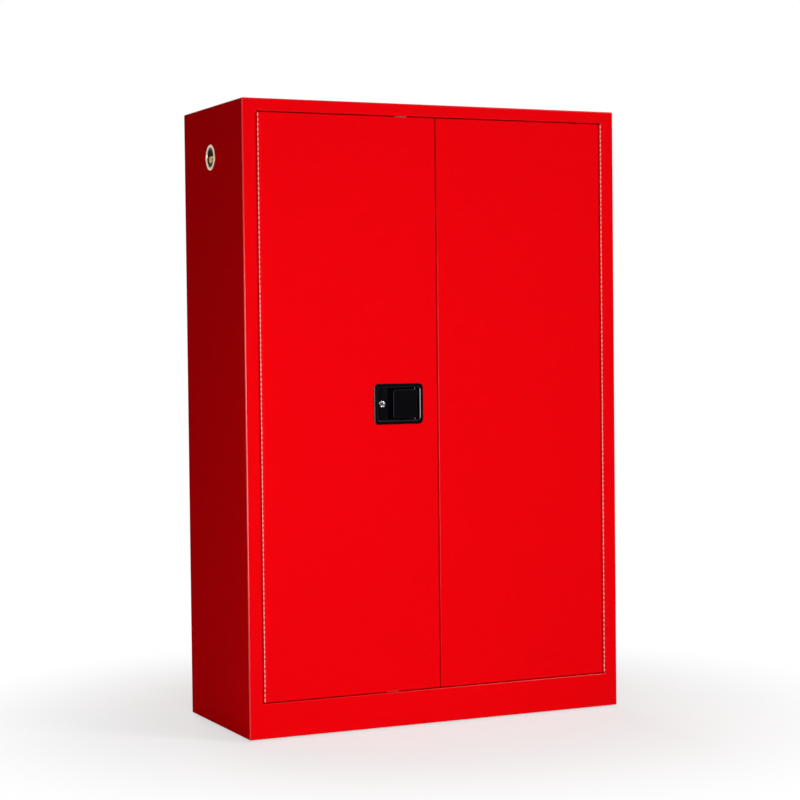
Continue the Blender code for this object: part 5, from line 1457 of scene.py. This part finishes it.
@dataclass
class DoorSeal:
    """The swelling seal round the door stop, a ribbed strip with mitred corners."""

    workshop: Workshop
    width: float = 0.014
    edge: float = 0.0005
    ribs: int = 3
    rib_depth: float = 0.0005
    groove_half: float = 0.0006

    def section(self, back: float, front: float) -> list[Point2]:
        """The strip's section: how far in from its outer edge, and its y."""
        edge, width = self.edge, self.width
        points = [(edge, back), (0.0, back - edge), (0.0, front + edge), (edge, front)]
        pitch = (width - 2 * edge) / self.ribs
        for i in range(self.ribs - 1):
            groove = edge + pitch * (i + 1)
            points += [(groove - self.groove_half, front), (groove, front + self.rib_depth),
                       (groove + self.groove_half, front)]
        return points + [(width - edge, front), (width, front + edge), (width, back - edge), (width - edge, back)]

    def build(self) -> None:
        """Builds the strip where the CAD node is."""
        low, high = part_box("door_seal")
        section = self.section(high.y, low.y)
        corners = ((low.x, low.z, 1, 1), (high.x, low.z, -1, 1), (high.x, high.z, -1, -1), (low.x, high.z, 1, -1))
        bm = bmesh.new()
        rows = [[bm.verts.new((x + way_x * inwards, y, z + way_z * inwards)) for inwards, y in section]
                for x, z, way_x, way_z in corners]
        for near, far in zip(rows, rows[1:] + rows[:1]):
            for i in range(len(section)):
                j = (i + 1) % len(section)
                bm.faces.new((near[i], near[j], far[j], far[i]))
        obj = solid_of(bm, "door_seal_ribbed")
        self.workshop.piece(obj, self.workshop.wardrobe.seal, Slot.SEAL, "cabinet", ["door_seal"])


@dataclass
class CoilSpring:
    """The coil spring round the upper rod. The real one is pressed together when the rod is drawn; this one keeps its
    length.
    """

    workshop: Workshop
    coils: int = 9
    dead_coils: float = 1.25
    dead_play: float = 1.05
    points_a_coil: int = 20
    wire_radius: float = 0.0008
    wire_sides: int = 8
    pressed: float = 0.70

    def rise(self, turns: float) -> float:
        """How far up the spring a coil lies, from 0 to 1, with its end coils closed."""
        flat = 2 * self.wire_radius / self.height * self.dead_play
        if turns < self.dead_coils:
            return flat * turns
        if turns > self.coils - self.dead_coils:
            return 1.0 - flat * (self.coils - turns)
        share = (turns - self.dead_coils) / (self.coils - 2 * self.dead_coils)
        low = flat * self.dead_coils
        return low + share * (1.0 - 2 * low)

    def build(self) -> None:
        """Builds the spring where the CAD node is."""
        low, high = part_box("rod_spring")
        centre = (low + high) / 2
        radius = (high.x - low.x) / 2 - self.wire_radius
        bottom, top = low.z + self.wire_radius, high.z - self.wire_radius
        self.height = top - bottom
        rings = []
        for i in range(self.coils * self.points_a_coil + 1):
            turns = i / self.points_a_coil
            angle = 2 * math.pi * turns
            outwards = Vector((math.cos(angle), math.sin(angle), 0.0))
            spot = Vector((centre.x, centre.y, bottom + self.height * self.rise(turns))) + radius * outwards
            wire = circle(self.wire_radius, self.wire_sides)
            rings.append([spot + u * outwards + Vector((0.0, 0.0, v)) for u, v in wire])
        bm = bmesh.new()
        loft(bm, rings)
        obj = solid_of(bm, "rod_spring_coiled")
        self.workshop.piece(obj, self.workshop.wardrobe.spring, Slot.SPRING, "left_door", ["rod_spring"])
        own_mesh(obj)


@dataclass
class LatchRivets:
    """The domed rivets on the door's inside that hold the latch plate and its guides."""

    workshop: Workshop
    radius: float = 0.0034
    height: float = 0.0011
    seat: float = 0.0003
    angles: tuple[float, ...] = (0.0, 0.35, 0.7, 1.05, 1.35)
    sides: int = 20
    plate_inset: float = 0.009
    guide_inset: float = 0.006

    def places(self) -> Iterable[Point2]:
        """Where the rivets are: x and z."""
        low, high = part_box("lock_plate")
        for x in (low.x + self.plate_inset, high.x - self.plate_inset):
            for z in (low.z + self.plate_inset, high.z - self.plate_inset):
                yield x, z
        inset = self.guide_inset
        for name in ("upper_rod_guide", "lower_rod_guide"):
            low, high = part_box(name)
            for x in (low.x + inset, high.x - inset):
                yield x, low.z + inset
        low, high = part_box("bolt_guide")
        for z in (low.z + inset, high.z - inset):
            yield low.x + inset, z

    def build(self) -> None:
        """Builds the rivets on the left door's inner pan."""
        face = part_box("left_door_pan")[1].y
        head = dome(self.radius, self.height, self.seat, self.angles)
        bm = bmesh.new()
        for x, z in self.places():
            turn(bm, head, self.sides, lay(Vector((x, face, z)), BACKWARDS))
        obj = solid_of(bm, "latch_rivets")
        self.workshop.piece(obj, self.workshop.wardrobe.zinc_flat, Slot.ZINC, "left_door")


@dataclass(frozen=True)
class Lamp:
    """A soft lamp that stands round the cabinet.

    Its azimuth is in degrees to the left of straight in front, its distance is over the
    floor, its size is a width and a height, and its level is how bright it makes a white
    surface that faces it, where 1 is white.
    """

    name: str
    azimuth: float
    height: float
    distance: float
    size: Point2
    level: float

    def build(self, aim: Vector) -> None:
        """Stands the lamp and aims it."""
        data = bpy.data.lights.new(self.name, "AREA")
        data.shape = "RECTANGLE"
        data.size, data.size_y = self.size
        angle = math.radians(self.azimuth)
        place = Vector((-self.distance * math.sin(angle), -self.distance * math.cos(angle), self.height))
        reach = (aim - place).length
        data.energy = self.level * math.pi**2 * reach**2
        lamp = bpy.data.objects.new(self.name, data)
        lamp.location = place
        lamp.rotation_euler = (aim - place).to_track_quat("-Z", "Y").to_euler()
        lamp.visible_camera = False
        bpy.context.scene.collection.objects.link(lamp)


@dataclass
class Studio:
    """The camera, the lamps, the pale floor and the white surroundings."""

    camera_place: Point3 = (-2.3811, -5.1440, 1.0428)
    yaw: float = 24.774
    pitch: float = -1.827
    roll: float = -0.621
    lens: float = 92.375
    sensor: float = 36.0
    clip: Point2 = (0.05, 200.0)
    fill: float = 0.10
    floor_radius: float = 40.0
    floor_sides: int = 96
    floor_tone: float = 0.86
    floor_roughness: float = 0.9
    floor_lift: float = 0.62
    floor_fade: Point2 = (0.50, 1.45)
    aim: Point3 = (0.0, 0.0, 0.85)
    lamps: tuple[Lamp, ...] = (
        Lamp("key", -38.0, 4.2, 6.8, (1.8, 1.8), 0.40),
        Lamp("glint", 20.0, 0.7, 2.7, (0.7, 1.2), 0.37),
        Lamp("overhead", 10.0, 6.0, 1.2, (3.0, 3.0), 0.16),
        Lamp("rear", 184.0, 3.0, 6.0, (2.0, 2.0), 0.42),
    )

    def build_camera(self) -> None:
        """Stands the camera where the photograph was taken from."""
        yaw, pitch, roll = (math.radians(a) for a in (self.yaw, self.pitch, self.roll))
        ahead = Vector((math.sin(yaw) * math.cos(pitch), math.cos(yaw) * math.cos(pitch), math.sin(pitch)))
        level = Vector((math.cos(yaw), -math.sin(yaw), 0.0))
        above = level.cross(ahead)
        right = math.cos(roll) * level + math.sin(roll) * above
        up = math.cos(roll) * above - math.sin(roll) * level
        data = bpy.data.cameras.new("camera")
        data.lens, data.sensor_width = self.lens, self.sensor
        data.clip_start, data.clip_end = self.clip
        camera = bpy.data.objects.new("camera", data)
        turned = Matrix((right, up, -ahead)).transposed().to_4x4()
        camera.matrix_world = Matrix.Translation(self.camera_place) @ turned
        bpy.context.scene.collection.objects.link(camera)
        bpy.context.scene.camera = camera

    def build_world(self) -> None:
        """Makes the surroundings white to the eye and in reflections, and a soft fill for the rest."""
        world = bpy.data.worlds.new("surroundings")
        bpy.context.scene.world = world
        world.use_nodes = True
        sketch = Sketch(world.node_tree)
        background = world.node_tree.nodes["Background"]
        background.inputs["Color"].default_value = WHITE
        sketch.feed(background.inputs["Strength"], sketch.spread(sketch.seen(), 0.0, 1.0, self.fill, 1.0))

    def build_floor(self) -> None:
        """Lays a pale floor that keeps the cabinet's shadow and fades to white away from it."""
        bm = bmesh.new()
        bmesh.ops.create_circle(bm, cap_ends=True, segments=self.floor_sides, radius=self.floor_radius)
        floor = solid_of(bm, "floor")
        recipe = Recipe("pale_floor", Effects())
        sketch = recipe.sketch
        recipe.feed({"Base Color": opaque((self.floor_tone,) * 3), "Roughness": self.floor_roughness,
                     "Specular IOR Level": 0.0})
        reach = sketch.add("ShaderNodeVectorMath", {0: sketch.place()}, operation="LENGTH").outputs["Value"]
        near, far = self.floor_fade
        away = sketch.add("ShaderNodeMapRange", {0: reach, 1: near, 2: far, 3: 0.0, 4: 1.0},
                          interpolation_type="SMOOTHSTEP").outputs[0]
        share = sketch.calc("MULTIPLY", sketch.spread(away, 0.0, 1.0, self.floor_lift, 1.0), sketch.seen())
        glow = sketch.add("ShaderNodeEmission", {"Color": WHITE, "Strength": 1.0})
        mix = sketch.add("ShaderNodeMixShader", {0: share, 1: recipe.shader.outputs[0], 2: glow.outputs[0]})
        sketch.feed(recipe.output.inputs["Surface"], mix.outputs[0])
        floor.data.materials.append(recipe.material)

    def build(self) -> None:
        """Builds the whole studio."""
        bpy.context.scene.view_settings.view_transform = "Standard"
        self.build_camera()
        self.build_world()
        self.build_floor()
        for lamp in self.lamps:
            lamp.build(Vector(self.aim))


def main() -> None:
    """Loads the frame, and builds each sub-assembly and the studio."""
    logging.basicConfig(level=logging.INFO, format="%(name)s: %(message)s", stream=sys.stdout)
    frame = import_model()
    workshop = Workshop()
    SheetMetal(workshop).dress(frame["nodes"])
    for side in Side:
        PianoHinge(workshop, side).build()
    PaddleHandle(workshop).build()
    Vent(workshop, "upper", Side.LEFT).build()
    Vent(workshop, "lower", Side.RIGHT).build()
    EarthStud(workshop).build()
    LevellingFeet(workshop).build()
    DoorSeal(workshop).build()
    CoilSpring(workshop).build()
    LatchRivets(workshop).build()
    Studio().build()


if __name__ == "__main__":
    main()
